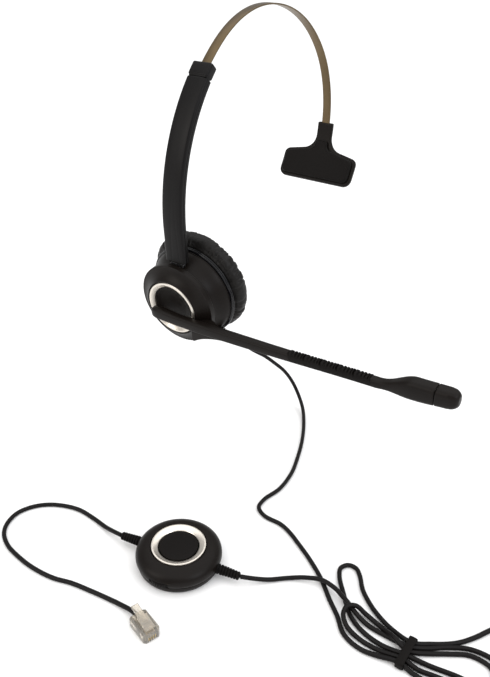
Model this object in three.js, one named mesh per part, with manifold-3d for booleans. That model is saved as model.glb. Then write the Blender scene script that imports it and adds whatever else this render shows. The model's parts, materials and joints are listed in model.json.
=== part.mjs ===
// Monaural office headset: a spring-steel headband with a T-bar pad, a curved slider arm, a tilting ear
// cup with a rotating boom microphone, and a cord with an inline control that ends in a 4P4C plug.
// Millimetres. Origin: the crown, where the band's inner face rests on the head. +X runs from the ear cup
// to the T-bar, +Z is up, and the wearer faces -Y.
import * as THREE from "three";
import { mergeVertices } from "three/addons/utils/BufferGeometryUtils.js";
import Module from "manifold-3d";

const wasm = await Module();
wasm.setup();

const DEG = Math.PI / 180;

// ---------------------------------------------------------------- driving dimensions
const GAP = 0.3; // clearance between neighbouring pieces

// Headband strip, as tangent arcs. Angles are counted from the crown, negative towards the ear cup.
const STRIP_WIDTH = 5.5;
const STRIP_THICKNESS = 0.8;
const CROWN_RADIUS = 66; // ear side of the crown
const CROWN_ANGLE = -37.2 * DEG;
const SLIDE_RADIUS = 98; // the arc that the arm slides along
const PAD_SIDE_RADIUS = 78.5; // T-bar side of the crown
const PAD_SIDE_ANGLE = 51.5 * DEG;
const PAD_END_RADIUS = 65;
const STRIP_INNER_END = -82 * DEG; // end of the strip inside the arm

// Slider arm
const ARM_WIDTH = 12.3;
const ARM_OUTER_THICKNESS = 2.6; // parting plane to the outer face
const ARM_INNER_THICKNESS = 2.3;
const ARM_TOP_ANGLE = -50.3 * DEG;
const ARM_CAP_TOP_ANGLE = -46 * DEG;
const ARM_END_ANGLE = -94.5 * DEG; // where the arm runs straight
const FOOT_LENGTH = 24.1; // end of the arc down to the hinge pin
const FOOT_END = 7.1; // the arm's shells end this far above the pin
const STOP_LENGTH = 5 * DEG;
const STOP_WIDTH = 8.4;
const STOP_THICKNESS = 2.4;
const STOP_TRAVEL_UP = 15 * DEG; // room for the stop above and below its place
const STOP_TRAVEL_DOWN = 9.5 * DEG;

// Hinge between arm and ear cup, placed in the ear cup's own frame
const EAR_TILT = 9.14 * DEG; // the ear cup's axis above the horizontal
const PIN_RADIUS = 0.9;
const PIN_LENGTH = 14;
const PIN_DEPTH = 5.29; // behind the cap's rim plane
const PIN_HEIGHT = 16.77; // above the ear axis
const TONGUE_WIDTH = 8;
const TONGUE_THICKNESS = 2.2;
const BARREL_RADIUS = 2.3;

// Ear cup, turned about the ear axis: radii, and depths counted inwards from the cap's rim plane
const CAP_RADIUS = 23;
const CAP_SKIRT = 3;
const CAP_DOME = 4.3;
const CAP_WALL = 1.6;
const RING_OUTER = 15.2;
const RING_INNER = 12.2;
const RING_PROUD = 4.6;
const DISH_DEPTH = 2.9;
const HUB_PLATE = 0.6; // front of the cap's inner plate
const HUB_PLATE_THICKNESS = 1.4;
const BOSS_RADIUS = 5.5;
const PLATE_BORE = 2.6;
const BOSS_END = 7.8;
const CLIP_GROOVE = 0.7;
const HOUSING_FRONT = 3.6;
const HOUSING_FRONT_RADIUS = 21.3;
const HOUSING_REAR = 13.8;
const HOUSING_REAR_RADIUS = 25.6;
const HOUSING_WALL = 1.6;
const COLLAR_RADIUS = 26.6;
const COLLAR_LENGTH = 2.3;
const CUSHION_RADIUS = 29.2;
const CUSHION_HOLE = 12.5;
const CUSHION_THICKNESS = 10.9;
const CUSHION_RAISE = 1.2; // the cushion sits this far above the ear axis
const DRIVER_RADIUS = 14;

// Boom, laid along -Y in the ear cup's own frame: x is depth, z is height
const BOOM_FLEX_START = -76;
const BOOM_FLEX_END = -119;
const FLEX_LINKS = 5;
const LINK_GAP = 0.5; // between the links of the bending stretch
const BOOM_ROOT_HEIGHT = 5.8;
const BOOM_ROOT_DEPTH = 4.8;
const BOOM_NECK_HEIGHT = 4.2;
const BOOM_NECK_DEPTH = 4.8;
const MIC_HEIGHT = 10.1; // at the start of the head
const MIC_TIP_HEIGHT = 9;
const MIC_DEPTH = 7.5;
const MIC_SEAM = -147;
const BOOM_TIP = -157.5;
const CAPSULE_RADIUS = 2.2;
const CAPSULE_LENGTH = 4;

// T-bar, bent on the strip's own end arc; lengths along the arc from the stem's top
const TBAR_TOP_ANGLE = 94.4 * DEG;
const TBAR_LENGTH = 37.5;
const TBAR_HALF_WIDTH = 25.9;
const TBAR_STEM_HALF = 5.2;
const TBAR_STEM_LENGTH = 8.5; // straight part of the stem
const TBAR_FILLET = 9; // between stem and shoulder
const TBAR_SHOULDER_DROP = 1.5; // slope of the shoulder
const TBAR_SHOULDER_CORNER = 4;
const TBAR_CORNER = 5;
const TBAR_THICKNESS = 3.2;
const TBAR_PAD_THICKNESS = 2.2;
const TBAR_PAD_INSET = 1.8;
const STRIP_IN_STEM = 14;

// Surface that the cord, the control and the plug lie on
const TABLE = -207.5;

// Cord
const CORD_RADIUS = 1;

// Inline control, turned about its own vertical axis
const CONTROL_PLACE = new THREE.Vector2(-170.9, -73);
const CONTROL_TURN = 11 * DEG; // the cord's line through it, from the -Y axis
const CONTROL_RADIUS = 18.9;
const CONTROL_WAIST = 5.6; // height of the widest edge
const CONTROL_SEAM = 4;
const CONTROL_TOP = 10.6;
const CONTROL_RING_OUTER = 12;
const CONTROL_RING_INNER = 8.9;
const CONTROL_WALL = 1.5;
const CONTROL_FOOT_RADIUS = 16.6;
const BUTTON_RADIUS = 8.5;
const BUTTON_TRAVEL = 0.8;
const BOARD_LEVEL = 3;
const WHEEL_RADIUS = 6;
const WHEEL_THICKNESS = 1.9;
const WHEEL_PROUD = 0.5;
const RELIEF_LENGTH = 10;
const RELIEF_RADIUS = 2.2;
const RELIEF_RIBS = 6;
const RELIEF_DROP = 0.2; // of its tip

// 4P4C modular plug
const PLUG_WIDTH = 7.65;
const PLUG_LENGTH = 11.8;
const PLUG_HEIGHT = 5;
const PLUG_PLACE = new THREE.Vector2(-206.7, -84.3);
const PLUG_HEADING = -107.5 * DEG; // the way its nose points
const CONTACT_PITCH = 1.02;
const LATCH_WIDTH = 3;
const LATCH_THICKNESS = 0.9;
const LATCH_ANGLE = 11 * DEG;

// ---------------------------------------------------------------- colours
const paint = (color, roughness, metalness = 0) => ({ color, roughness, metalness });
const BLACK = paint(0x24211f, 0.5);
const SOFT_BLACK = paint(0x1d1b1a, 0.8);
const GLOSS_BLACK = paint(0x16161a, 0.2);
const CHROME = paint(0xd8d2c8, 0.12, 1);
const BRONZE = paint(0x80684a, 0.35, 1);
const STEEL = paint(0xa9a9ab, 0.35, 1);
const CLEAR = paint(0xd9d0be, 0.15);
const GOLD = paint(0xd0a550, 0.25, 1);
const GREEN = paint(0x1f5138, 0.5);
const GREY = paint(0x55565a, 0.6);

// ---------------------------------------------------------------- geometry helpers
function toSolid(geometry) {
  const bare = geometry.index ? geometry.toNonIndexed() : geometry.clone();
  bare.deleteAttribute("normal");
  bare.deleteAttribute("uv");
  const merged = mergeVertices(bare, 1e-4);
  const index = merged.index.array;
  const faces = [];
  for (let i = 0; i < index.length; i += 3) {
    const [a, b, c] = [index[i], index[i + 1], index[i + 2]];
    if (a !== b && b !== c && c !== a) faces.push(a, b, c);
  }
  const solidOf = (list) =>
    new wasm.Manifold(
      new wasm.Mesh({
        numProp: 3,
        vertProperties: merged.attributes.position.array,
        triVerts: new Uint32Array(list),
      }),
    );
  const made = solidOf(faces);
  return made.volume() < 0 ? solidOf(faces.reverse()) : made;
}

function toGeometry(solid) {
  const { numProp, numVert, vertProperties, triVerts } = solid.getMesh();
  const position = new Float32Array(numVert * 3);
  for (let i = 0; i < numVert; i++) {
    position.set(vertProperties.subarray(i * numProp, i * numProp + 3), i * 3);
  }
  const geometry = new THREE.BufferGeometry();
  geometry.setAttribute("position", new THREE.BufferAttribute(position, 3));
  geometry.setIndex(new THREE.BufferAttribute(new Uint32Array(triVerts), 1));
  geometry.computeVertexNormals();
  return geometry;
}

function join(first, ...rest) {
  return toGeometry(rest.reduce((all, next) => all.add(toSolid(next)), toSolid(first)));
}

function cut(first, ...rest) {
  return toGeometry(rest.reduce((all, next) => all.subtract(toSolid(next)), toSolid(first)));
}

// A closed profile of [radius, depth] pairs turned about the X axis, depth along +X.
function turnX(profile, segments = 40) {
  const points = profile.map(([r, depth]) => new THREE.Vector2(r, depth));
  if (profile[0][0] > 0 || profile[profile.length - 1][0] > 0) points.push(points[0].clone());
  const made = new THREE.LatheGeometry(points, segments).rotateZ(-Math.PI / 2);
  return toGeometry(toSolid(made));
}

// The same about the Z axis, heights along +Z.
function turnZ(profile, segments = 40) {
  return turnX(profile, segments).rotateY(-Math.PI / 2);
}

function box(x0, x1, y0, y1, z0, z1) {
  const made = new THREE.BoxGeometry(x1 - x0, y1 - y0, z1 - z0);
  return made.translate((x0 + x1) / 2, (y0 + y1) / 2, (z0 + z1) / 2);
}

function rodX(radius, x0, x1, y, z, sides = 20) {
  const made = new THREE.CylinderGeometry(radius, radius, x1 - x0, sides).rotateZ(Math.PI / 2);
  return made.translate((x0 + x1) / 2, y, z);
}

function rodY(radius, y0, y1, x, z, sides = 20) {
  return new THREE.CylinderGeometry(radius, radius, y1 - y0, sides).translate(x, (y0 + y1) / 2, z);
}

function rodZ(radius, z0, z1, x, y, sides = 20) {
  const made = new THREE.CylinderGeometry(radius, radius, z1 - z0, sides).rotateX(Math.PI / 2);
  return made.translate(x, y, (z0 + z1) / 2);
}

// A closed skin over outlines of equal point counts; each station places its 2D outline in space.
function loft(stations) {
  const count = stations[0].outline.length;
  const position = [];
  for (const { outline, place } of stations) {
    for (const p of outline) position.push(...place(p[0], p[1]).toArray());
  }
  const index = [];
  for (let s = 0; s + 1 < stations.length; s++) {
    for (let i = 0; i < count; i++) {
      const j = (i + 1) % count;
      const [a, b, c, d] = [s * count + i, s * count + j, (s + 1) * count + j, (s + 1) * count + i];
      index.push(a, b, c, a, c, d);
    }
  }
  const flat = (station) => station.outline.map(([u, v]) => new THREE.Vector2(u, v));
  const start = THREE.ShapeUtils.triangulateShape(flat(stations[0]), []);
  const end = THREE.ShapeUtils.triangulateShape(flat(stations[stations.length - 1]), []);
  const last = (stations.length - 1) * count;
  for (const [a, b, c] of start) index.push(a, c, b);
  for (const [a, b, c] of end) index.push(last + a, last + b, last + c);
  const geometry = new THREE.BufferGeometry();
  geometry.setAttribute("position", new THREE.Float32BufferAttribute(position, 3));
  geometry.setIndex(index);
  return toGeometry(toSolid(geometry));
}

// Rectangle with chamfered or rounded corners, centred on (cu, cv).
function roundedOutline(width, height, corner, cu = 0, cv = 0, steps = 2) {
  const outline = [];
  const r = Math.min(corner, width / 2 - 0.01, height / 2 - 0.01);
  for (let quarter = 0; quarter < 4; quarter++) {
    const su = quarter === 0 || quarter === 3 ? 1 : -1;
    const sv = quarter < 2 ? 1 : -1;
    for (let k = 0; k <= steps; k++) {
      const angle = (quarter + k / steps) * 90 * DEG;
      outline.push([
        cu + su * (width / 2 - r) + r * Math.cos(angle),
        cv + sv * (height / 2 - r) + r * Math.sin(angle),
      ]);
    }
  }
  return outline;
}

// A flat outline of [x, y] points, extruded between two heights.
function prism(outline, z0, z1) {
  const shape = new THREE.Shape(outline.map(([x, y]) => new THREE.Vector2(x, y)));
  const made = new THREE.ExtrudeGeometry(shape, { depth: z1 - z0, bevelEnabled: false });
  return toGeometry(toSolid(made.translate(0, 0, z0)));
}

function mesh(name, geometry, look, parent) {
  const made = new THREE.Mesh(geometry, new THREE.MeshStandardMaterial(look));
  made.name = name;
  parent.add(made);
  return made;
}

const span = (from, to, count) =>
  Array.from({ length: count + 1 }, (_, i) => from + ((to - from) * i) / count);
const mix = THREE.MathUtils.lerp;
const smooth = (x, from, to) => THREE.MathUtils.smoothstep(x, from, to);

// ---------------------------------------------------------------- headband curve
const crownLevel = STRIP_THICKNESS / 2;
const crownCentre = new THREE.Vector2(0, crownLevel - CROWN_RADIUS);
const padSideCentre = new THREE.Vector2(0, crownLevel - PAD_SIDE_RADIUS);
const outward = (angle) => new THREE.Vector2(Math.sin(angle), Math.cos(angle));
const slideCentre = crownCentre.clone().addScaledVector(outward(CROWN_ANGLE), CROWN_RADIUS - SLIDE_RADIUS);
const padEndCentre = padSideCentre
  .clone()
  .addScaledVector(outward(PAD_SIDE_ANGLE), PAD_SIDE_RADIUS - PAD_END_RADIUS);

// Point of the band's side view (x, z) at a tangent angle, offset outwards from the centreline.
function bandPoint(angle, offset = 0) {
  let [centre, radius] = [crownCentre, CROWN_RADIUS];
  if (angle < CROWN_ANGLE) [centre, radius] = [slideCentre, SLIDE_RADIUS];
  else if (angle > PAD_SIDE_ANGLE) [centre, radius] = [padEndCentre, PAD_END_RADIUS];
  else if (angle > 0) [centre, radius] = [padSideCentre, PAD_SIDE_RADIUS];
  return centre.clone().addScaledVector(outward(angle), radius + offset);
}

// Station of a loft across the band: u runs along Y, v outwards.
function bandStation(angle, outline) {
  return {
    outline,
    place: (u, v) => {
      const p = bandPoint(angle, v);
      return new THREE.Vector3(p.x, u, p.y);
    },
  };
}

const bandLoft = (from, to, count, outline) =>
  loft(span(from, to, count).map((angle) => bandStation(angle, outline(angle))));

// ---------------------------------------------------------------- ear frame
const armArcEnd = bandPoint(ARM_END_ANGLE);
const footDown = new THREE.Vector2(-Math.cos(ARM_END_ANGLE), Math.sin(ARM_END_ANGLE));
const footTilt = -ARM_END_ANGLE - 90 * DEG;
const pinPlace = armArcEnd.clone().addScaledVector(footDown, FOOT_LENGTH);
const inwards = new THREE.Vector2(Math.cos(EAR_TILT), Math.sin(EAR_TILT));
const upwards = new THREE.Vector2(-Math.sin(EAR_TILT), Math.cos(EAR_TILT));
const earCentre = pinPlace
  .clone()
  .addScaledVector(inwards, -PIN_DEPTH)
  .addScaledVector(upwards, -PIN_HEIGHT);

const root = new THREE.Group();
const ear = new THREE.Group(); // x inwards along the ear axis
ear.position.set(earCentre.x, 0, earCentre.y);
ear.rotation.y = -EAR_TILT;
root.add(ear);
ear.updateMatrixWorld(true);
const foot = new THREE.Group(); // origin on the hinge pin, z up the arm's straight foot
foot.position.set(pinPlace.x, 0, pinPlace.y);
foot.rotation.y = -footTilt;
root.add(foot);
foot.updateMatrixWorld(true);

// ---------------------------------------------------------------- headband
const stemAngle = (length) => TBAR_TOP_ANGLE + length / PAD_END_RADIUS;

function bandStrip() {
  const [w, t] = [STRIP_WIDTH / 2, STRIP_THICKNESS / 2];
  const section = () => [[w, -t], [w, t], [-w, t], [-w, -t]];
  return bandLoft(STRIP_INNER_END, stemAngle(STRIP_IN_STEM), 48, section);
}

// Stop pressed on the strip's lower end; it keeps the strip in the arm.
function stripStop() {
  const reach = 2 * DEG; // how far it laps over the strip
  const from = STRIP_INNER_END + reach;
  const section = () => roundedOutline(STOP_WIDTH, STOP_THICKNESS, 0.5, 0, 0, 1);
  const body = bandLoft(from, from - STOP_LENGTH, 3, section);
  const slot = bandLoft(from + DEG, STRIP_INNER_END - GAP / SLIDE_RADIUS, 2, () =>
    roundedOutline(STRIP_WIDTH + 2 * GAP, STRIP_THICKNESS + 2 * GAP, 0.05, 0, 0, 1),
  );
  return cut(body, slot);
}

const stripSlot = (from, to, count) =>
  bandLoft(from, to, count, () =>
    roundedOutline(STRIP_WIDTH + 2 * GAP, STRIP_THICKNESS + 2 * GAP, 0.05, 0, 0, 1),
  );

const shoulderStart = TBAR_STEM_LENGTH + TBAR_FILLET;
const shoulderHalf = TBAR_STEM_HALF + TBAR_FILLET;
const cornerStart = shoulderStart + TBAR_SHOULDER_DROP;
const cornerHalf = TBAR_HALF_WIDTH - TBAR_SHOULDER_CORNER;
const circleHeight = (radius, offset) => Math.sqrt(Math.max(0, radius ** 2 - offset ** 2));

// Half width of the T-bar at a length from the stem's top.
function tbarHalf(length) {
  const left = TBAR_LENGTH - length;
  if (length <= TBAR_STEM_LENGTH) return TBAR_STEM_HALF;
  if (length <= shoulderStart) {
    return shoulderHalf - circleHeight(TBAR_FILLET, length - TBAR_STEM_LENGTH);
  }
  if (length <= cornerStart) {
    return mix(shoulderHalf, cornerHalf, (length - shoulderStart) / TBAR_SHOULDER_DROP);
  }
  if (length <= cornerStart + TBAR_SHOULDER_CORNER) {
    return cornerHalf + circleHeight(TBAR_SHOULDER_CORNER, cornerStart + TBAR_SHOULDER_CORNER - length);
  }
  if (left < TBAR_CORNER) {
    return TBAR_HALF_WIDTH - TBAR_CORNER + circleHeight(TBAR_CORNER, TBAR_CORNER - left);
  }
  return TBAR_HALF_WIDTH;
}

const stemToShoulder = [0.3, 0.55, 0.75, 0.9, 0.98].map((t) => TBAR_STEM_LENGTH + t * TBAR_FILLET);
const shoulderToSide = [0.05, 0.3, 0.65, 1].map((t) => cornerStart + t * TBAR_SHOULDER_CORNER);
const endCorner = [1, 0.7, 0.4, 0.15, 0].map((t) => TBAR_LENGTH - t * TBAR_CORNER);

const tbarMiddle = (TBAR_THICKNESS - STRIP_THICKNESS) / 2 - 0.6; // the shell lies mostly outside the strip

function tbarShell() {
  const lengths = [
    0,
    TBAR_STEM_LENGTH,
    ...stemToShoulder,
    shoulderStart,
    cornerStart,
    ...shoulderToSide,
    ...endCorner,
  ];
  const section = (length) => roundedOutline(2 * tbarHalf(length), TBAR_THICKNESS, 1.1, 0, tbarMiddle, 1);
  const body = loft(lengths.map((length) => bandStation(stemAngle(length), section(length))));
  return cut(body, stripSlot(TBAR_TOP_ANGLE - DEG, stemAngle(STRIP_IN_STEM + GAP), 4));
}

// Soft pad on the inner face, set in from the shell's edge.
function tbarPad() {
  const outer = tbarMiddle - TBAR_THICKNESS / 2 - GAP;
  const inset = TBAR_PAD_INSET;
  const upper = [...stemToShoulder, shoulderStart, cornerStart, ...shoulderToSide];
  const lengths = upper.map((length) => length + inset);
  const ends = endCorner.map((length) => length - inset);
  const half = (length, i) => {
    if (i < lengths.length) return tbarHalf(length - inset) - inset * mix(1, 0.5, smooth(length, 12, 20));
    return tbarHalf(length + inset) - inset;
  };
  const section = (length, i) =>
    roundedOutline(2 * half(length, i), TBAR_PAD_THICKNESS, 0.9, 0, outer - TBAR_PAD_THICKNESS / 2, 1);
  return loft([...lengths, ...ends].map((length, i) => bandStation(stemAngle(length), section(length, i))));
}

// ---------------------------------------------------------------- slider arm
const halfArm = ARM_WIDTH / 2;

// Stations of the arm: down the arc, then along the straight foot.
function armStations(outline) {
  const stations = span(ARM_TOP_ANGLE, ARM_END_ANGLE, 14).map((angle) => bandStation(angle, outline));
  const end = armArcEnd.clone().addScaledVector(footDown, FOOT_LENGTH - FOOT_END);
  stations.push({
    outline,
    place: (u, v) => {
      const p = end.clone().addScaledVector(outward(ARM_END_ANGLE), v);
      return new THREE.Vector3(p.x, u, p.y);
    },
  });
  return stations;
}

const stopPocket = () =>
  bandLoft(STRIP_INNER_END + 2 * DEG + STOP_TRAVEL_UP, STRIP_INNER_END - 3 * DEG - STOP_TRAVEL_DOWN, 10, () =>
    roundedOutline(STOP_WIDTH + 2 * GAP, STOP_THICKNESS + 2 * GAP, 0.05, 0, 0, 1),
  );

const TONGUE_TOP = FOOT_END + 8.4; // above the pin
const ARM_SCREW_RADIUS = 1;
const ARM_SCREW_HEAD = 2;
const armScrewHeight = TONGUE_TOP - 3.4;
const halfTongue = TONGUE_THICKNESS / 2;

// Pocket in the arm's foot that clamps the tongue.
function tonguePocket() {
  const side = TONGUE_WIDTH / 2 + GAP;
  const pocket = box(-halfTongue - GAP, halfTongue + GAP, -side, side, FOOT_END - 1, TONGUE_TOP + GAP);
  return pocket.applyMatrix4(foot.matrixWorld);
}

function armScrewHole() {
  return rodX(ARM_SCREW_RADIUS + GAP, -1.9, 4, 0, armScrewHeight, 12).applyMatrix4(foot.matrixWorld);
}

function armScrewHeadHole() {
  return rodX(ARM_SCREW_HEAD + GAP, 1.5, 5, 0, armScrewHeight, 16).applyMatrix4(foot.matrixWorld);
}

function armOuterShell() {
  const t = ARM_OUTER_THICKNESS;
  const outline = [
    [-halfArm, GAP / 2],
    [halfArm, GAP / 2],
    [halfArm, t * 0.45],
    [halfArm - 0.7, t * 0.8],
    [halfArm - 2.6, t * 0.96],
    [0, t],
    [-halfArm + 2.6, t * 0.96],
    [-halfArm + 0.7, t * 0.8],
    [-halfArm, t * 0.45],
  ];
  const slot = stripSlot(ARM_TOP_ANGLE + DEG, STRIP_INNER_END - STOP_TRAVEL_DOWN, 18);
  return cut(loft(armStations(outline)), slot, stopPocket(), tonguePocket(), armScrewHole());
}

function armInnerShell() {
  const t = -ARM_INNER_THICKNESS;
  const outline = [
    [halfArm, -GAP / 2],
    [-halfArm, -GAP / 2],
    [-halfArm, t * 0.6],
    [-halfArm + 0.9, t],
    [halfArm - 0.9, t],
    [halfArm, t * 0.6],
  ];
  const slot = stripSlot(ARM_TOP_ANGLE + DEG, STRIP_INNER_END - STOP_TRAVEL_DOWN, 18);
  const body = loft(armStations(outline));
  return cut(body, slot, stopPocket(), tonguePocket(), armScrewHole(), armScrewHeadHole());
}

const CAP_NARROWER = 0.5;

// Separate cap at the arm's top end, with a waist at its seam.
function armEndCap() {
  const total = ARM_OUTER_THICKNESS + ARM_INNER_THICKNESS;
  const middle = (ARM_OUTER_THICKNESS - ARM_INNER_THICKNESS) / 2;
  const low = ARM_TOP_ANGLE + GAP / SLIDE_RADIUS;
  const section = (angle) => {
    const waist = angle < low + 0.5 * DEG ? 0.9 : 0;
    return roundedOutline(ARM_WIDTH - CAP_NARROWER - waist, total + 0.5 - waist, 1.2, 0, middle);
  };
  const waistEnds = [low + 0.45 * DEG, low + 0.75 * DEG];
  const angles = [low, ...waistEnds, mix(low, ARM_CAP_TOP_ANGLE, 0.6), ARM_CAP_TOP_ANGLE];
  const body = loft(angles.map((angle) => bandStation(angle, section(angle))));
  return cut(body, stripSlot(low - DEG, ARM_CAP_TOP_ANGLE + DEG, 4));
}

// Metal tongue clamped in the arm's foot, ending in a barrel on the hinge pin.
function armTongue() {
  const side = TONGUE_WIDTH / 2;
  const strap = box(-halfTongue, halfTongue, -side, side, 0, TONGUE_TOP);
  const barrel = rodY(BARREL_RADIUS, -side, side, 0, 0, 18);
  const bore = rodY(PIN_RADIUS + 0.1, -side - 1, side + 1, 0, 0, 16);
  const screwHole = rodX(ARM_SCREW_RADIUS + GAP, -4, 4, 0, armScrewHeight, 12);
  return cut(join(strap, barrel), bore, screwHole);
}

function armScrew() {
  const shank = rodX(ARM_SCREW_RADIUS, -1.6, 2, 0, armScrewHeight, 12);
  const head = rodX(ARM_SCREW_HEAD, 1.8, ARM_INNER_THICKNESS + 0.1, 0, armScrewHeight, 16);
  return join(shank, head);
}

// ---------------------------------------------------------------- ear cup
function speakerHousing() {
  const [front, rear, w] = [HOUSING_FRONT, HOUSING_REAR, HOUSING_WALL];
  const [small, large] = [HOUSING_FRONT_RADIUS, HOUSING_REAR_RADIUS];
  const hole = BOSS_RADIUS + GAP;
  const shell = turnX([
    [hole, front],
    [small - 0.6, front],
    [small, front + 0.6],
    [small + 0.1, front + 2.4],
    [small + 0.9, front + 5],
    [large - 1.6, rear - 2.6],
    [large, rear - 1],
    [large, rear],
    [large - w, rear],
    [large - w - 1.4, rear - 2.4],
    [small + 0.9 - w, front + 5.3],
    [small - w, front + 2.6],
    [small - w, front + w + 0.2],
    [hole, front + w + 0.2],
  ], 32);
  const lugIn = TONGUE_WIDTH / 2 + GAP;
  const lugOut = PIN_LENGTH / 2 - 0.6;
  const lugs = [-1, 1].map((side) =>
    box(
      front + 1,
      PIN_DEPTH + 2.6,
      Math.min(side * lugIn, side * lugOut),
      Math.max(side * lugIn, side * lugOut),
      PIN_HEIGHT - 2.6,
      HOUSING_FRONT_RADIUS - 1.3,
    ),
  );
  const slot = box(front - 1, PIN_DEPTH + BARREL_RADIUS + 1, -lugIn, lugIn, PIN_HEIGHT - 3.4, large);
  const bore = rodY(PIN_RADIUS + GAP, -PIN_LENGTH / 2 - 0.2, PIN_LENGTH / 2 + 0.2, PIN_DEPTH, PIN_HEIGHT, 16);
  return cut(join(shell, ...lugs), slot, bore, reliefSeat());
}

const hingePin = () => rodY(PIN_RADIUS, -PIN_LENGTH / 2, PIN_LENGTH / 2, PIN_DEPTH, PIN_HEIGHT, 14);

// Ribbed glossy collar that holds the cushion's skin on the housing.
function cushionCollar() {
  const a = HOUSING_REAR + GAP;
  return turnX([
    [HOUSING_REAR_RADIUS - 2.2, a],
    [COLLAR_RADIUS - 0.5, a],
    [COLLAR_RADIUS, a + 0.5],
    [COLLAR_RADIUS, a + COLLAR_LENGTH - 0.5],
    [COLLAR_RADIUS - 0.5, a + COLLAR_LENGTH],
    [HOUSING_REAR_RADIUS - 2.2, a + COLLAR_LENGTH],
  ], 32);
}

const baffleFront = HOUSING_REAR + GAP;
const baffleRadius = HOUSING_REAR_RADIUS - 2.2 - GAP;

// Perforated plate in front of the loudspeaker.
function baffle() {
  const plate = turnX([
    [0, baffleFront],
    [baffleRadius, baffleFront],
    [baffleRadius, baffleFront + 1.4],
    [0, baffleFront + 1.4],
  ], 32);
  const holes = [rodX(1.5, baffleFront - 1, baffleFront + 3, 0, 0, 8)];
  for (const angle of span(0, 300, 5)) {
    const [y, z] = [6 * Math.cos(angle * DEG), 6 * Math.sin(angle * DEG)];
    holes.push(rodX(1.5, baffleFront - 1, baffleFront + 3, y, z, 8));
  }
  return cut(plate, ...holes);
}

function speakerBasket() {
  const rear = baffleFront - GAP;
  return turnX([
    [7, rear - 5.4],
    [9, rear - 5.4],
    [DRIVER_RADIUS - 0.8, rear - 1.6],
    [DRIVER_RADIUS, rear - 1.2],
    [DRIVER_RADIUS, rear],
    [DRIVER_RADIUS - 1.2, rear],
    [DRIVER_RADIUS - 1.6, rear - 1],
    [8.4, rear - 4.4],
    [7, rear - 4.4],
  ], 24);
}

const speakerMagnet = () => rodX(6.6, HOUSING_REAR - 5.6, HOUSING_REAR - 3, 0, 0, 24);

function speakerDiaphragm() {
  const a = HOUSING_REAR - 1.5;
  return turnX([
    [0, a - 0.3],
    [4, a],
    [7.5, a - 0.6],
    [DRIVER_RADIUS - 2.4, a + 0.9],
    [DRIVER_RADIUS - 2.4, a + 1.2],
    [7.5, a - 0.2],
    [4, a + 0.4],
    [0, a + 0.1],
  ], 22);
}

const cushionFront = HOUSING_REAR + COLLAR_LENGTH + 2 * GAP;

function speakerScrim() {
  const a = baffleFront + 1.4 + GAP;
  return turnX([
    [0, a],
    [baffleRadius - 1, a],
    [baffleRadius - 1, a + 0.5],
    [0, a + 0.5],
  ], 28);
}

function earCushion() {
  const middle = (CUSHION_RADIUS + CUSHION_HOLE) / 2;
  const halfWidth = (CUSHION_RADIUS - CUSHION_HOLE) / 2;
  const halfThickness = CUSHION_THICKNESS / 2;
  const bulge = (value) => Math.sign(value) * Math.abs(value) ** 0.72;
  const profile = span(15, 345, 11).map((angle) => [
    middle + halfWidth * bulge(Math.cos(angle * DEG)),
    cushionFront + halfThickness * (1 + bulge(Math.sin(angle * DEG))),
  ]);
  return turnX(profile, 32).translate(0, 0, CUSHION_RAISE);
}

// Strain relief at the foot of the housing, pointing forwards and down.
const RELIEF_EAR_START = new THREE.Vector3(9.3, -13.7, -15.1);
const RELIEF_EAR_END = new THREE.Vector3(12.4, -26.2, -21.3);

function reliefSeat(extra = GAP) {
  return along(RELIEF_EAR_START, RELIEF_EAR_END, [
    [0, 0],
    [2.4 + extra, 0],
    [2.2 + extra, 7],
    [2.1 + extra, 9],
    [0, 9],
  ]);
}

// A turned profile laid from one point towards another.
function along(from, to, profile, segments = 18) {
  const made = turnX(profile, segments);
  const direction = to.clone().sub(from).normalize();
  const turn = new THREE.Quaternion().setFromUnitVectors(new THREE.Vector3(1, 0, 0), direction);
  return made.applyQuaternion(turn).translate(from.x, from.y, from.z);
}

function reliefEar() {
  const length = RELIEF_EAR_START.distanceTo(RELIEF_EAR_END);
  return along(RELIEF_EAR_START, RELIEF_EAR_END, [
    [0, 0.2],
    [2.3, 0.2],
    [2.1, 7],
    [CORD_RADIUS + 0.45, length],
    [0, length],
  ]);
}

// ---------------------------------------------------------------- boom
// Centreline of the boom in the ear frame, by its place along -Y.
function boomCentre(y) {
  const along = THREE.MathUtils.clamp((-20 - y) / 100, 0, 1.4);
  const rise = 0.9 * smooth(-y, 60, 119) + 3.3 * smooth(-y, 119, 138) + 0.8 * smooth(-y, 138, 155);
  return { x: -7.3 + 2.6 * along, z: -3.6 + 1.8 * along + rise };
}

function boomSize(y) {
  const taper = smooth(-y, 15, 118);
  const head = smooth(-y, 122, 137);
  const tip = smooth(-y, 138, 155);
  return {
    depth: mix(mix(BOOM_ROOT_DEPTH, BOOM_NECK_DEPTH, taper), MIC_DEPTH, head),
    height: mix(mix(BOOM_ROOT_HEIGHT, BOOM_NECK_HEIGHT, taper), mix(MIC_HEIGHT, MIC_TIP_HEIGHT, tip), head),
  };
}

function boomStation(y, grow = 0, ridge = 0) {
  const { x, z } = boomCentre(y);
  const { depth, height } = boomSize(y);
  const corner = Math.min(depth, height) * 0.25;
  const outline = roundedOutline(depth + 2 * grow, height + 2 * grow, corner, 0, 0, 1);
  return {
    outline: outline.map(([u, v]) => [u, v > height * 0.3 ? v + ridge : v]),
    place: (u, v) => new THREE.Vector3(x + u, y, z + v),
  };
}

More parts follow.
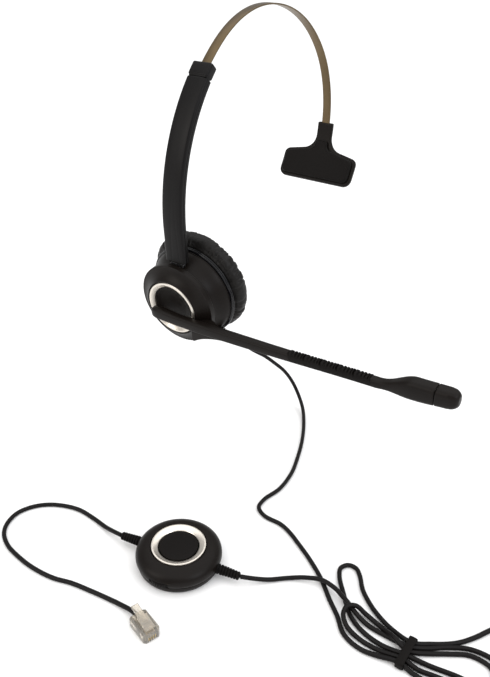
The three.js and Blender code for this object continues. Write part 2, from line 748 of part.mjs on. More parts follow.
// Domed annular cap that carries the boom's root bar across the ring.
function boomBase() {
  const dome = span(0, 1, 4).map((t) => {
    const angle = t * 62 * DEG;
    return [
      mix(CAP_RADIUS, RING_OUTER + GAP + 0.6, Math.sin(angle) / Math.sin(62 * DEG) ** 1),
      -CAP_DOME * ((1 - Math.cos(angle)) / (1 - Math.cos(62 * DEG))) ** 0.75,
    ];
  });
  const seat = HUB_PLATE;
  const back = HUB_PLATE + HUB_PLATE_THICKNESS;
  const cap = turnX([
    [CAP_RADIUS - CAP_WALL, CAP_SKIRT],
    [CAP_RADIUS, CAP_SKIRT],
    ...dome,
    [RING_OUTER + GAP, -CAP_DOME],
    [RING_OUTER + GAP, seat],
    [PLATE_BORE, seat],
    [PLATE_BORE, back],
    [CAP_RADIUS - CAP_WALL, back],
  ], 36);
  const bar = loft([
    ...[12.8, 12.3, 11.2, 9].map((y, i) => {
      const station = boomStation(-15, [-1.9, -1.1, -0.5, -0.2][i]);
      const { x, z } = boomCentre(0);
      return { outline: station.outline, place: (u, v) => new THREE.Vector3(x + u, y, z + 0.6 + v) };
    }),
    ...[-4, -20, -40, -58, BOOM_FLEX_START].map((y) => boomStation(y)),
  ]);
  // Fillet that carries the bar into the cap's front edge.
  const wedge = loft(
    [-16.6, -19, -21.5, -24, -30, -36].map((y, i) => {
      const reach = [-0.5, 0.5, 1.2, 0.4, -2.6, -4.9][i];
      const low = [-13, -11.5, -10.2, -9.2, -7.4, -6.4][i];
      const { x, z } = boomCentre(y);
      const { depth, height } = boomSize(y);
      const outer = x - depth / 2 + 0.5;
      const width = Math.max(reach - outer, 0.6);
      const top = z + height / 2 - 1;
      return {
        outline: roundedOutline(width, top - low, 0.5, outer + width / 2, (top + low) / 2, 1),
        place: (u, v) => new THREE.Vector3(u, y, v),
      };
    }),
  );
  const body = join(cap, bar, wedge);
  const innerRoom = turnX([
    [0, back],
    [CAP_RADIUS - CAP_WALL, back],
    [CAP_RADIUS - CAP_WALL, CAP_SKIRT + 0.5],
    [CAP_RADIUS + 30, CAP_SKIRT + 0.5],
    [CAP_RADIUS + 30, CAP_SKIRT + 12],
    [0, CAP_SKIRT + 12],
  ], 36);
  return cut(body, innerRoom);
}

// Post fixed in the cap's plate; it turns in the housing's front.
function hubPost() {
  const [boss, groove] = [BOSS_RADIUS, BOSS_RADIUS - CLIP_GROOVE];
  const clip = HOUSING_FRONT + HOUSING_WALL + 0.6;
  const from = HUB_PLATE + HUB_PLATE_THICKNESS + GAP;
  return turnX([
    [0, HUB_PLATE + 0.1],
    [PLATE_BORE - GAP, HUB_PLATE + 0.1],
    [PLATE_BORE - GAP, from],
    [boss, from],
    [boss, clip],
    [groove, clip],
    [groove, clip + 0.8],
    [boss, clip + 0.8],
    [boss, BOSS_END],
    [0, BOSS_END],
  ], 36);
}

function chromeRing() {
  return turnX([
    [RING_OUTER - 0.5, -RING_PROUD],
    [RING_OUTER, -RING_PROUD + 0.4],
    [RING_OUTER, HUB_PLATE - GAP],
    [RING_INNER, HUB_PLATE - GAP],
    [RING_INNER, -DISH_DEPTH - 0.2],
    [RING_INNER + 0.4, -DISH_DEPTH - 0.5],
  ], 40);
}

function recessDish() {
  const r = RING_INNER - GAP;
  return turnX([
    [0, HUB_PLATE - GAP - 0.9],
    [r * 0.55, HUB_PLATE - GAP - 1.1],
    [r * 0.85, HUB_PLATE - GAP - 2],
    [r, -DISH_DEPTH],
    [r, HUB_PLATE - GAP],
    [0, HUB_PLATE - GAP],
  ], 32);
}

function hubClip() {
  const a = HOUSING_FRONT + HOUSING_WALL + 0.75;
  return turnX([
    [BOSS_RADIUS - CLIP_GROOVE + 0.15, a],
    [BOSS_RADIUS + 2, a],
    [BOSS_RADIUS + 2, a + 0.5],
    [BOSS_RADIUS - CLIP_GROOVE + 0.15, a + 0.5],
  ], 28);
}

function frictionRing() {
  const from = HUB_PLATE + HUB_PLATE_THICKNESS + GAP;
  return turnX([
    [BOSS_RADIUS + 0.8, from],
    [BOSS_RADIUS + 5, from],
    [BOSS_RADIUS + 5, HOUSING_FRONT - GAP],
    [BOSS_RADIUS + 0.8, HOUSING_FRONT - GAP],
  ], 32);
}

const linkLength = (BOOM_FLEX_START - BOOM_FLEX_END) / FLEX_LINKS;
const linkStart = (i) => BOOM_FLEX_START - i * linkLength;

// Ribbed link of the bending stretch.
function flexLink(i) {
  const from = linkStart(i) - LINK_GAP;
  const to = linkStart(i + 1);
  const ribs = 4;
  const pitch = (from - to) / ribs;
  const stations = [boomStation(from, -0.25)];
  for (let k = 0; k < ribs; k++) {
    const y = from - k * pitch;
    stations.push(boomStation(y - pitch * 0.15), boomStation(y - pitch * 0.35, 0, 0.45));
    stations.push(boomStation(y - pitch * 0.85, 0, 0.45));
  }
  stations.push(boomStation(to, -0.25));
  return loft(stations);
}

function micHousing() {
  const body = loft(
    [BOOM_FLEX_END - LINK_GAP, -122, -126, -130, -134, -138, -143, MIC_SEAM].map((y, i) =>
      boomStation(y, i === 0 ? -0.25 : 0),
    ),
  );
  const { x, z } = boomCentre(MIC_SEAM);
  const pocket = rodY(CAPSULE_RADIUS + GAP, MIC_SEAM - 1, MIC_SEAM + CAPSULE_LENGTH + 1, x, z);
  const port = rodX(0.7, x, x + 6, MIC_SEAM + 2.5, z, 10);
  return cut(body, pocket, port);
}

function micCapsule() {
  const { x, z } = boomCentre(MIC_SEAM);
  return rodY(CAPSULE_RADIUS, MIC_SEAM + 0.2, MIC_SEAM + CAPSULE_LENGTH, x, z);
}

function micCap() {
  const end = (y, grow) => boomStation(y, grow);
  return loft([
    end(MIC_SEAM - GAP, 0),
    end(-152, 0),
    end(-155, -0.2),
    end(-156.4, -0.7),
    end(-157.2, -1.4),
    end(BOOM_TIP, -2.2),
  ]);
}

// ---------------------------------------------------------------- inline control
const control = new THREE.Group(); // z up from the table, cords along its Y axis
control.position.set(CONTROL_PLACE.x, CONTROL_PLACE.y, TABLE);
control.rotation.z = CONTROL_TURN;
root.add(control);
control.updateMatrixWorld(true);

const wheelPlace = -(CONTROL_RADIUS + WHEEL_PROUD - WHEEL_RADIUS); // along the control's X axis
const wheelLevel = CONTROL_SEAM + 1.1;
const reliefLevel = CONTROL_SEAM + 0.3;
const wheelHalf = WHEEL_THICKNESS / 2;

function controlWheelRoom() {
  const [low, high] = [wheelLevel - wheelHalf - GAP, wheelLevel + wheelHalf + GAP];
  return rodZ(WHEEL_RADIUS + 2 * GAP, low, high, wheelPlace, 0, 24);
}

const RELIEF_HOLE = [13, 24]; // along the control's Y axis, on each side

function reliefHole(side) {
  const [from, to] = RELIEF_HOLE.map((y) => side * y).sort((a, b) => a - b);
  return rodY(RELIEF_RADIUS + GAP, from, to, 0, reliefLevel, 12);
}

const SCREW_X = 9.5;
const SCREW_FROM_WHEEL = 1.156; // the screws' axes stand this far outside the wheel
const SCREW_Y = Math.sqrt((WHEEL_RADIUS + SCREW_FROM_WHEEL) ** 2 - (wheelPlace + SCREW_X) ** 2);

function controlBase() {
  const shell = turnZ([
    [0, 0],
    [CONTROL_FOOT_RADIUS, 0],
    [CONTROL_RADIUS - 1, 1.6],
    [CONTROL_RADIUS - 0.6, CONTROL_SEAM - GAP],
    [CONTROL_RADIUS - 0.6 - CONTROL_WALL, CONTROL_SEAM - GAP],
    [CONTROL_RADIUS - 1 - CONTROL_WALL, CONTROL_WALL + 0.4],
    [0, CONTROL_WALL],
  ], 32);
  const holes = [-1, 1].map((side) => rodZ(1.1 + GAP, -1, 4, SCREW_X * side, SCREW_Y * side, 10));
  const heads = [-1, 1].map((side) => rodZ(1.8 + GAP, -1, 0.8, SCREW_X * side, SCREW_Y * side, 12));
  return cut(shell, controlWheelRoom(), reliefHole(-1), reliefHole(1), ...holes, ...heads);
}

function controlTop() {
  const crown = span(0, 1, 5).map((t) => {
    const angle = t * 90 * DEG;
    return [
      mix(CONTROL_RING_OUTER + GAP, CONTROL_RADIUS, Math.cos(angle)),
      mix(CONTROL_WAIST, CONTROL_TOP, Math.sin(angle) ** 0.85),
    ];
  });
  const w = CONTROL_WALL;
  const shell = turnZ([
    [CONTROL_RADIUS - w, CONTROL_SEAM],
    [CONTROL_RADIUS - 0.4, CONTROL_SEAM],
    ...crown,
    [CONTROL_RING_OUTER + GAP, CONTROL_TOP - 2],
    [CONTROL_RING_INNER + GAP, CONTROL_TOP - 2],
    [CONTROL_RING_INNER + GAP, CONTROL_TOP - 3],
    [CONTROL_RING_OUTER + 1, CONTROL_TOP - 3],
    [CONTROL_RADIUS - w - 0.6, CONTROL_WAIST + 0.8],
  ], 32);
  const bossFoot = BOARD_LEVEL + 1 + 2 * GAP;
  const atScrews = (radius, low, high, sides) =>
    [-1, 1].map((side) => rodZ(radius, low, high, SCREW_X * side, SCREW_Y * side, sides));
  const bosses = atScrews(2.4, bossFoot, CONTROL_TOP - 2.5, 12);
  const threads = atScrews(0.9 + GAP, 0, CONTROL_TOP - 3.6, 10);
  return cut(join(shell, ...bosses), controlWheelRoom(), reliefHole(-1), reliefHole(1), ...threads);
}

function controlRing() {
  const z = CONTROL_TOP - 2 + GAP;
  return turnZ([
    [CONTROL_RING_INNER, z],
    [CONTROL_RING_OUTER, z],
    [CONTROL_RING_OUTER, CONTROL_TOP + 0.2],
    [CONTROL_RING_OUTER - 0.5, CONTROL_TOP + 0.5],
    [CONTROL_RING_INNER + 0.3, CONTROL_TOP - 0.4],
    [CONTROL_RING_INNER, CONTROL_TOP - 0.7],
  ], 32);
}

function muteButton() {
  const z = CONTROL_TOP - 2.6;
  return turnZ([
    [0, z - 1.4],
    [2.2, z - 1.4],
    [2.2, z],
    [BUTTON_RADIUS, z],
    [BUTTON_RADIUS, CONTROL_TOP - 0.5],
    [BUTTON_RADIUS - 0.8, CONTROL_TOP - 0.1],
    [BUTTON_RADIUS * 0.5, CONTROL_TOP + 0.3],
    [0, CONTROL_TOP + 0.4],
  ], 28);
}

const boardTop = BOARD_LEVEL + 1;

// Rubber dome between the button's stem and the board.
function buttonDome() {
  const top = CONTROL_TOP - 4 - BUTTON_TRAVEL - 0.2;
  return turnZ([
    [0, boardTop + 1.2],
    [2, boardTop + 1.2],
    [3, boardTop + GAP],
    [4, boardTop + GAP],
    [2.6, top],
    [0, top],
  ], 24);
}

function circuitBoard() {
  const r = CONTROL_RADIUS - 4;
  const board = rodZ(r, BOARD_LEVEL, boardTop, 0, 0, 36);
  const notch = box(-r - 2, wheelPlace + WHEEL_RADIUS + 0.8, -r, r, 0, 10);
  const screws = [-1, 1].map((side) => rodZ(1.1 + GAP, 0, 10, SCREW_X * side, SCREW_Y * side, 10));
  const cords = [box(-4, 4, -20, -12, 0, 10), box(-4, 4, 12, 20, 0, 10)];
  return cut(board, notch, ...screws, ...cords);
}

function volumeWheel() {
  const teeth = 24;
  const outline = new THREE.Shape();
  span(0, teeth * 2 - 1, teeth * 2 - 1).forEach((k, i) => {
    const r = WHEEL_RADIUS - (i % 2 ? 0.3 : 0);
    const angle = (k / (teeth * 2)) * 360 * DEG;
    const [x, y] = [r * Math.cos(angle), r * Math.sin(angle)];
    if (i) outline.lineTo(x, y);
    else outline.moveTo(x, y);
  });
  outline.closePath();
  const options = { depth: WHEEL_THICKNESS, bevelEnabled: false, curveSegments: 1 };
  const made = new THREE.ExtrudeGeometry(outline, options);
  return toGeometry(toSolid(made.translate(wheelPlace, 0, wheelLevel - wheelHalf)));
}

function controlScrew(side) {
  const [x, y] = [SCREW_X * side, SCREW_Y * side];
  return join(rodZ(1.8, 0.1, 0.6, x, y, 16), rodZ(0.85, 0.3, CONTROL_TOP - 4, x, y, 12));
}

// Ribbed strain relief on the control, and where it starts and ends along the control's Y axis.
const reliefStart = CONTROL_RADIUS - 4.2;
const reliefEnd = CONTROL_RADIUS + RELIEF_LENGTH;

function controlRelief(side) {
  const profile = [[0, 0], [RELIEF_RADIUS, 0], [RELIEF_RADIUS, 4.6]];
  const pitch = (reliefEnd - reliefStart - 5.4) / RELIEF_RIBS;
  for (let k = 0; k < RELIEF_RIBS; k++) {
    const at = 5 + k * pitch;
    const r = mix(RELIEF_RADIUS, CORD_RADIUS + 0.75, k / RELIEF_RIBS);
    profile.push([r - 0.5, at], [r - 0.5, at + pitch * 0.35], [r, at + pitch * 0.45]);
  }
  const length = reliefEnd - reliefStart;
  profile.push([CORD_RADIUS + 0.6, length], [0, length]);
  const from = new THREE.Vector3(0, side * reliefStart, reliefLevel);
  const to = new THREE.Vector3(0, side * reliefEnd, reliefLevel - RELIEF_DROP);
  return along(from, to, profile, 10);
}

// ---------------------------------------------------------------- modular plug
const plug = new THREE.Group(); // x to its nose, z up from the table
plug.position.set(PLUG_PLACE.x, PLUG_PLACE.y, TABLE);
plug.rotation.z = PLUG_HEADING;
root.add(plug);
plug.updateMatrixWorld(true);

const plugRear = -PLUG_LENGTH / 2;
const plugNose = PLUG_LENGTH / 2;
const latchRoot = new THREE.Vector3(plugNose - 1.2, 0, PLUG_HEIGHT + 0.15);

function plugBody() {
  const [side, chamfer] = [PLUG_WIDTH / 2, 1];
  const outline = [
    [plugRear + 0.6, side],
    [plugRear, side - 0.8],
    [plugRear, -side + 0.8],
    [plugRear + 0.6, -side],
    [plugNose - chamfer, -side],
    [plugNose, -side + chamfer],
    [plugNose, side - chamfer],
    [plugNose - chamfer, side],
  ];
  const body = prism(outline, 0, PLUG_HEIGHT - 0.4);
  const entry = box(plugRear - 1, plugRear + 5, -2.3, 2.3, 0.9, 0.9 + 2 * CORD_RADIUS + 0.9);
  const slots = contactPlaces.map((y) => box(plugNose - 4.2, plugNose + 1, y - 0.3, y + 0.3, -1, 2.8));
  return cut(body, entry, ...slots);
}

const contactPlaces = [-1.5, -0.5, 0.5, 1.5].map((k) => k * CONTACT_PITCH);

const plugContact = (y) => box(plugNose - 3.8, plugNose - 0.4, y - 0.15, y + 0.15, 0.4, 2.4);

// Sprung latch: thick at its root on the nose, rising towards the rear.
function plugLatch() {
  const length = PLUG_LENGTH + 0.6;
  const blade = box(-length, 0, -LATCH_WIDTH / 2, LATCH_WIDTH / 2, 0, LATCH_THICKNESS);
  const shoulder = box(-length * 0.55, 0, -LATCH_WIDTH / 2 - 0.7, LATCH_WIDTH / 2 + 0.7, 0, LATCH_THICKNESS);
  return join(blade, shoulder).rotateY(LATCH_ANGLE).translate(latchRoot.x, 0, PLUG_HEIGHT - 0.4 + GAP);
}

// ---------------------------------------------------------------- cord
// Points are [x, y, height of the cord's centre above the table]; a point without a height lies on it.
const onTable = ([x, y, height = CORD_RADIUS]) => new THREE.Vector3(x, y, TABLE + height);

const TIP_GAP = 0.5; // cord to a relief's tip, as the cord already bends there
const SECTION_SIDES = 8;
const STEP = 3 * 2 * CORD_RADIUS;

function tube(points) {
  const path = new THREE.CatmullRomCurve3(points, false, "centripetal");
  const section = new THREE.Shape(
    span(0.5, SECTION_SIDES - 0.5, SECTION_SIDES - 1).map((k) => {
      const angle = (k / SECTION_SIDES) * 360 * DEG;
      return new THREE.Vector2(CORD_RADIUS * Math.cos(angle), CORD_RADIUS * Math.sin(angle));
    }),
  );
  const steps = Math.round(path.getLength() / STEP);
  const made = new THREE.ExtrudeGeometry(section, { steps, extrudePath: path, curveSegments: 1 });
  return toGeometry(toSolid(made));
}

// The point just off a relief's tip, where the cord starts.
function offTip(group, start, end) {
  const [from, tip] = [start, end].map((p) => group.localToWorld(p.clone()));
  return tip.clone().addScaledVector(tip.clone().sub(from).normalize(), TIP_GAP);
}

const controlTip = (side) => {
  const from = new THREE.Vector3(0, side * reliefStart, reliefLevel);
  return offTip(control, from, new THREE.Vector3(0, side * reliefEnd, reliefLevel - RELIEF_DROP));
};

// Ear cup to the hank's tie: it falls to the table, then lies along it.
const FEED_ROUTE = [
  [-57.2, -34.6, 40.3],
  [-51.4, -39, 34.9],
  [-47, -43, 29.5],
  [-42.2, -46.8, 23],
  [-39, -50.4, 15.5],
  [-38.6, -54.6, 8.1],
  [-42.4, -60, 3],
  [-52.5, -66.8, 1.2],
  [-66.4, -73.9],
  [-79.1, -78.9],
  [-92.7, -83.1],
  [-106.3, -84.3],
  [-116.6, -82.3],
  [-122.9, -83.2],
  [-126.1, -88.6],
  [-126.4, -97.7],
  [-128.2, -103.4],
  [-132.4, -111.3],
  [-137.7, -120.3],
  [-144.3, -129.6],
  [-151.4, -137.3],
  [-157.3, -144.3],
  [-163.4, -150.4],
  [-165.8, -158.5],
  [-165, -166, 1.4],
  [-163.8, -171, 1.9],
];

// Long loop that stands out of the hank.
const LOOP_ROUTE = [
  [-145.6, -141],
  [-139, -136.2],
  [-134.4, -134],
  [-130.9, -134.9],
  [-130, -138.4],
  [-132.6, -141.6],
  [-139.2, -146.8],
  [-144.4, -153],
  [-147.2, -157.6],
];

// Hank back to the control, over the feed, then up to the control's relief.
const RETURN_ROUTE = [
  [-148.6, -141.4, 3.2],
  [-147.1, -138, 3.2],
  [-146.2, -131.1, 3.2],
  [-148.4, -123.8, 2.2],
  [-152.2, -117.3, 1.2],
  [-157.7, -111.4, 1.5],
  [-162.2, -106.3, 3],
];

// Hank to the coil, and the coil back to the hank.
const COIL_IN_ROUTE = [
  [-162.1, -204.4],
  [-160.9, -208.8],
  [-157.4, -213.2],
  [-151.6, -217.6],
  [-147.4, -220.4],
  [-143.4, -223.1],
];
const COIL_OUT_ROUTE = [
  [-120.3, -204.2],
  [-124.1, -200.4],
  [-128.8, -197.4],
  [-134.2, -194.4],
  [-140, -190.8],
];

// Control to the plug.
const LEAD_ROUTE = [
  [-176.3, -39.8, 3.4],
  [-175.2, -33, 1.7],
  [-173.8, -23.4],
  [-173.6, -14.4],
  [-175.4, -7.3],
  [-179.2, 0],
  [-184.8, 5.4],
  [-191.5, 8.1],
  [-198.2, 7.1],
  [-203.9, 3.3],
  [-208.1, -4.1],
  [-210, -13.4],
  [-210.7, -23.9],
  [-209.6, -35.1],
  [-207.1, -43.4],
  [-205.5, -52.6],
  [-204.3, -61],
  [-203.7, -68.5, 1.4],
];

// The hank: strands side by side through the tie, a small loop behind it and two nested turns in front.
const STRAND = 2 * CORD_RADIUS + 0.1;
const TIE_PLACE = { x0: -164.5, x1: -151.1, y0: -176.2, y1: -172.8 };
const TIE_LIFT = 0.9; // the tie's band passes under the strands
const TIE_WALL = 0.6;

const smallLoopOutline = [
  [-162.3, -173],
  [-163.2, -165],
  [-163, -157.5],
  [-160.8, -151],
  [-158.2, -147.4],
  [-155.4, -145.6],
  [-152.2, -146.4],
  [-149.9, -141.4],
  [-147.8, -142.4],
  [-146.3, -140.7],
  [-145.2, -142.3],
  [-149.2, -147.3],
  [-149, -156],
  [-148.3, -157.6],
  [-146.4, -158.4],
  [-149.1, -165],
  [-151.1, -173],
];

const nestedTurnsOutline = [
  [-164.5, -171.3],
  [-151.1, -171.3],
  [-151.1, -177],
  [-147.6, -180.6],
  [-143.1, -186.9],
  [-139.9, -190],
  [-140.9, -191.7],
  [-139.3, -198],
  [-139.3, -203],
  [-141.7, -207.4],
  [-145.5, -210.2],
  [-149.5, -211.1],
  [-153.5, -210.2],
  [-157.4, -207.4],
  [-159.8, -203.8],
  [-161.1, -203.7],
  [-163.2, -204.2],
  [-164.1, -200],
  [-165.5, -188],
  [-165.4, -180],
  [-164.5, -177],
];

function cordHank() {
  const { x0, x1, y0, y1 } = TIE_PLACE;
  const crossing = toSolid(prism(smallLoopOutline, TABLE, TABLE + 3 * STRAND));
  const crossingRoom = toSolid(box(-170, -140, -157.9, -135, TABLE - 1, TABLE + 10));
  const raised = box(x0, x1, y0 - 1.2, -171.3, TABLE + TIE_LIFT, TABLE + TIE_LIFT + STRAND);
  const whole = join(
    prism(nestedTurnsOutline, TABLE, TABLE + STRAND),
    prism(smallLoopOutline, TABLE, TABLE + STRAND),
    toGeometry(crossing.intersect(crossingRoom)),
    raised,
  );
  return cut(whole, box(x0 - 5, x1 + 5, y0 - GAP, y1 + GAP, TABLE - 1, TABLE + TIE_LIFT));
}

function hankTie() {
  const { x0, x1, y0, y1 } = TIE_PLACE;
  const top = TABLE + TIE_LIFT + STRAND + GAP;
  const band = box(x0 - GAP - TIE_WALL, x1 + GAP + TIE_WALL, y0, y1, TABLE, top + TIE_WALL);
  const room = box(x0 - GAP, x1 + GAP, y0 - 1, y1 + 1, TABLE + TIE_LIFT - GAP, top);
  return cut(band, room);
}

const COIL_PLACE = new THREE.Vector2(-129, -217);
const COIL_RADIUS = 11; // at the middle of its turns
const COIL_ROWS = 3;
const COIL_LAYERS = 2;

function cordCoil() {
  const half = (COIL_ROWS * 2 * CORD_RADIUS) / 2;
  const height = COIL_LAYERS * 2 * CORD_RADIUS;
  const ring = turnZ([
    [COIL_RADIUS - half, 0],
    [COIL_RADIUS + half, 0],
    [COIL_RADIUS + half, height],
    [COIL_RADIUS - half, height],
  ], 32);
  return ring.translate(COIL_PLACE.x, COIL_PLACE.y, TABLE);
}

const earTip = offTip(ear, RELIEF_EAR_START, RELIEF_EAR_END);
const plugEntry = plug.localToWorld(new THREE.Vector3(plugRear + 4.6, 0, 0.9 + CORD_RADIUS + 0.4));
const plugApproach = plug.localToWorld(new THREE.Vector3(plugRear - 3, 0, 0.9 + CORD_RADIUS + 0.3));

// ---------------------------------------------------------------- assembly
mesh("band_strip", bandStrip(), BRONZE, root);
mesh("strip_stop", stripStop(), GREY, root);
mesh("tbar_shell", tbarShell(), BLACK, root);
mesh("tbar_pad", tbarPad(), SOFT_BLACK, root);

mesh("arm_outer_shell", armOuterShell(), BLACK, root);
mesh("arm_inner_shell", armInnerShell(), BLACK, root);
mesh("arm_end_cap", armEndCap(), BLACK, root);
mesh("arm_tongue", armTongue(), STEEL, foot);
mesh("arm_screw", armScrew(), STEEL, foot);

mesh("hinge_pin", hingePin(), STEEL, ear);
mesh("speaker_housing", speakerHousing(), BLACK, ear);
mesh("cushion_collar", cushionCollar(), GLOSS_BLACK, ear);
mesh("baffle", baffle(), BLACK, ear);
mesh("speaker_basket", speakerBasket(), STEEL, ear);
mesh("speaker_magnet", speakerMagnet(), STEEL, ear);
mesh("speaker_diaphragm", speakerDiaphragm(), GREY, ear);
mesh("speaker_scrim", speakerScrim(), SOFT_BLACK, ear);
mesh("ear_cushion", earCushion(), SOFT_BLACK, ear);
mesh("cord_relief_ear", reliefEar(), SOFT_BLACK, ear);

mesh("boom_base", boomBase(), BLACK, ear);
mesh("hub_post", hubPost(), STEEL, ear);
mesh("chrome_ring", chromeRing(), CHROME, ear);
mesh("recess_dish", recessDish(), BLACK, ear);
mesh("hub_clip", hubClip(), STEEL, ear);
mesh("friction_ring", frictionRing(), GREY, ear);
for (let i = 0; i < FLEX_LINKS; i++) mesh(`flex_link_${i + 1}`, flexLink(i), SOFT_BLACK, ear);
mesh("mic_housing", micHousing(), BLACK, ear);
mesh("mic_capsule", micCapsule(), STEEL, ear);
mesh("mic_cap", micCap(), BLACK, ear);

mesh("control_base", controlBase(), BLACK, control);
mesh("control_top", controlTop(), BLACK, control);
mesh("control_ring", controlRing(), CHROME, control);
mesh("mute_button", muteButton(), SOFT_BLACK, control);
mesh("button_dome", buttonDome(), GREY, control);
mesh("circuit_board", circuitBoard(), GREEN, control);
mesh("volume_wheel", volumeWheel(), SOFT_BLACK, control);
mesh("control_screw_1", controlScrew(-1), STEEL, control);
mesh("control_screw_2", controlScrew(1), STEEL, control);
mesh("relief_to_ear", controlRelief(-1), SOFT_BLACK, control);
mesh("relief_to_plug", controlRelief(1), SOFT_BLACK, control);

mesh("plug_body", plugBody(), CLEAR, plug);
mesh("plug_latch", plugLatch(), CLEAR, plug);
contactPlaces.forEach((y, i) => mesh(`plug_contact_${i + 1}`, plugContact(y), GOLD, plug));

mesh("cord_feed", tube([earTip, ...FEED_ROUTE.map(onTable)]), SOFT_BLACK, root);
mesh("cord_hank", cordHank(), SOFT_BLACK, root);
mesh("hank_tie", hankTie(), BLACK, root);
mesh("cord_loop", tube(LOOP_ROUTE.map(onTable)), SOFT_BLACK, root);
mesh("cord_coil_in", tube(COIL_IN_ROUTE.map(onTable)), SOFT_BLACK, root);
mesh("cord_coil", cordCoil(), SOFT_BLACK, root);
mesh("cord_coil_out", tube(COIL_OUT_ROUTE.map(onTable)), SOFT_BLACK, root);
mesh("cord_return", tube([...RETURN_ROUTE.map(onTable), controlTip(-1)]), SOFT_BLACK, root);
const leadPoints = [controlTip(1), ...LEAD_ROUTE.map(onTable), plugApproach, plugEntry];
mesh("cord_lead", tube(leadPoints), SOFT_BLACK, root);

export default root;
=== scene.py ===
import json
import math
import random

import bmesh
import bpy
from mathutils import Matrix, Vector, noise


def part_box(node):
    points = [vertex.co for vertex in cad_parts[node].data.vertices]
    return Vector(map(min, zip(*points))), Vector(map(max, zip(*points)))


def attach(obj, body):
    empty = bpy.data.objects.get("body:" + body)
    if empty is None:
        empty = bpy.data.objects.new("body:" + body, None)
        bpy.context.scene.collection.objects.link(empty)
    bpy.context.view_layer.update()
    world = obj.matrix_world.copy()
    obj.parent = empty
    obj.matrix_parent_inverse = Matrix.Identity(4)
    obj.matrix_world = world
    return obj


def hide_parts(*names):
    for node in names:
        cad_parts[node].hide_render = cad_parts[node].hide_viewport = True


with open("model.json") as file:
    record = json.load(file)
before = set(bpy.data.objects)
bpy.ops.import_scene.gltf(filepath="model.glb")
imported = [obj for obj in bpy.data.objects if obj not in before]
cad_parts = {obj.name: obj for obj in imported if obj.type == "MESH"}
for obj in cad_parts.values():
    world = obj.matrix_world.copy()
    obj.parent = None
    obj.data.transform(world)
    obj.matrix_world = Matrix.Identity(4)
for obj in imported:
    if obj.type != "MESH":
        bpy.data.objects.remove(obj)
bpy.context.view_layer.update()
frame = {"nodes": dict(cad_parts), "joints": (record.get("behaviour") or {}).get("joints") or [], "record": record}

MM = 0.001
DEG = math.pi / 180
record = frame["record"]
joints = {joint["name"]: joint for joint in frame["joints"]}
SLOT_OF = {row["node"]: row["material_slot"] for row in record["subparts"]}
BODY_OF = {node: body for body, nodes in record["behaviour"]["bodies"].items() for node in nodes}

# ---------------------------------------------------------------- camera
EYE = Vector((-0.34688, -0.22515, 0.04062))
HEADING, PITCH, ROLL = 55.96 * DEG, -30.07 * DEG, 0.8 * DEG
view_x = Vector((math.cos(HEADING), -math.sin(HEADING), 0))
level = Vector((math.sin(HEADING), math.cos(HEADING), 0))
ahead = level * math.cos(PITCH) + Vector((0, 0, math.sin(PITCH)))
view_y = view_x.cross(ahead)
right = view_x * math.cos(ROLL) + view_y * math.sin(ROLL)
above = view_y * math.cos(ROLL) - view_x * math.sin(ROLL)
camera_data = bpy.data.cameras.new("camera")
camera_data.lens = 39.07
camera_data.sensor_width = 36
camera = bpy.data.objects.new("camera", camera_data)
camera.matrix_world = Matrix.Translation(EYE) @ Matrix((right, above, -ahead)).transposed().to_4x4()
bpy.context.scene.collection.objects.link(camera)
bpy.context.scene.camera = camera


# ---------------------------------------------------------------- frames, from millimetres to metres
def placed(origin, x_axis, z_axis):
    x, z = Vector(x_axis).normalized(), Vector(z_axis).normalized()
    turn = Matrix((x, z.cross(x), z)).transposed().to_4x4()
    return Matrix.Translation(Vector(origin)) @ turn @ Matrix.Scale(MM, 4)


def on_table(node, heading):
    low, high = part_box(node)
    origin = ((low.x + high.x) / 2, (low.y + high.y) / 2, low.z)
    return placed(origin, (math.cos(heading), math.sin(heading), 0), (0, 0, 1))


FOOT_TILT = 4.5 * DEG
PART = Matrix.Scale(MM, 4)
ear_axis = Vector(joints["boom_turn"]["axis"])
EAR = placed(joints["boom_turn"]["pos_m"], ear_axis, (-ear_axis.z, 0, ear_axis.x))
FOOT = placed(
    joints["ear_tilt"]["pos_m"],
    (math.cos(FOOT_TILT), 0, math.sin(FOOT_TILT)),
    (-math.sin(FOOT_TILT), 0, math.cos(FOOT_TILT)),
)
CONTROL = on_table("control_base", 11 * DEG)
PLUG = on_table("plug_body", -107.5 * DEG)
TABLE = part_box("control_base")[0].z / MM


# ---------------------------------------------------------------- curves
def smooth(x, start, end):
    t = min(max((x - start) / (end - start), 0), 1)
    return t * t * (3 - 2 * t)


def mix(a, b, t):
    return a + (b - a) * t


def span(start, end, count):
    return [mix(start, end, k / count) for k in range(count + 1)]


def through(points, step=0.8):
    """Centripetal curve through the points, as points about one step apart."""
    ends = [points[0] * 2 - points[1], *points, points[-1] * 2 - points[-2]]
    made = []
    for i in range(len(points) - 1):
        p = ends[i : i + 4]
        d = [max((p[k + 1] - p[k]).length ** 0.5, 1e-6) for k in range(3)]
        m1 = (p[1] - p[0]) / d[0] - (p[2] - p[0]) / (d[0] + d[1]) + (p[2] - p[1]) / d[1]
        m2 = (p[2] - p[1]) / d[1] - (p[3] - p[1]) / (d[1] + d[2]) + (p[3] - p[2]) / d[2]
        m1, m2 = m1 * d[1], m2 * d[1]
        count = max(2, round((p[2] - p[1]).length / step))
        for k in range(count):
            t = k / count
            a, b = 2 * t**3 - 3 * t**2 + 1, t**3 - 2 * t**2 + t
            made.append(p[1] * a + m1 * b + p[2] * (1 - a) + m2 * (t**3 - t**2))
    return [*made, points[-1]]


def table_points(route, resting=1.0):
    return [Vector((p[0], p[1], TABLE + (p[2] if len(p) > 2 else resting))) for p in route]


def arc(cx, cy, radius, start, end, count):
    return [
        (cx + radius * math.cos(angle * DEG), cy + radius * math.sin(angle * DEG))
        for angle in span(start, end, count)
    ]


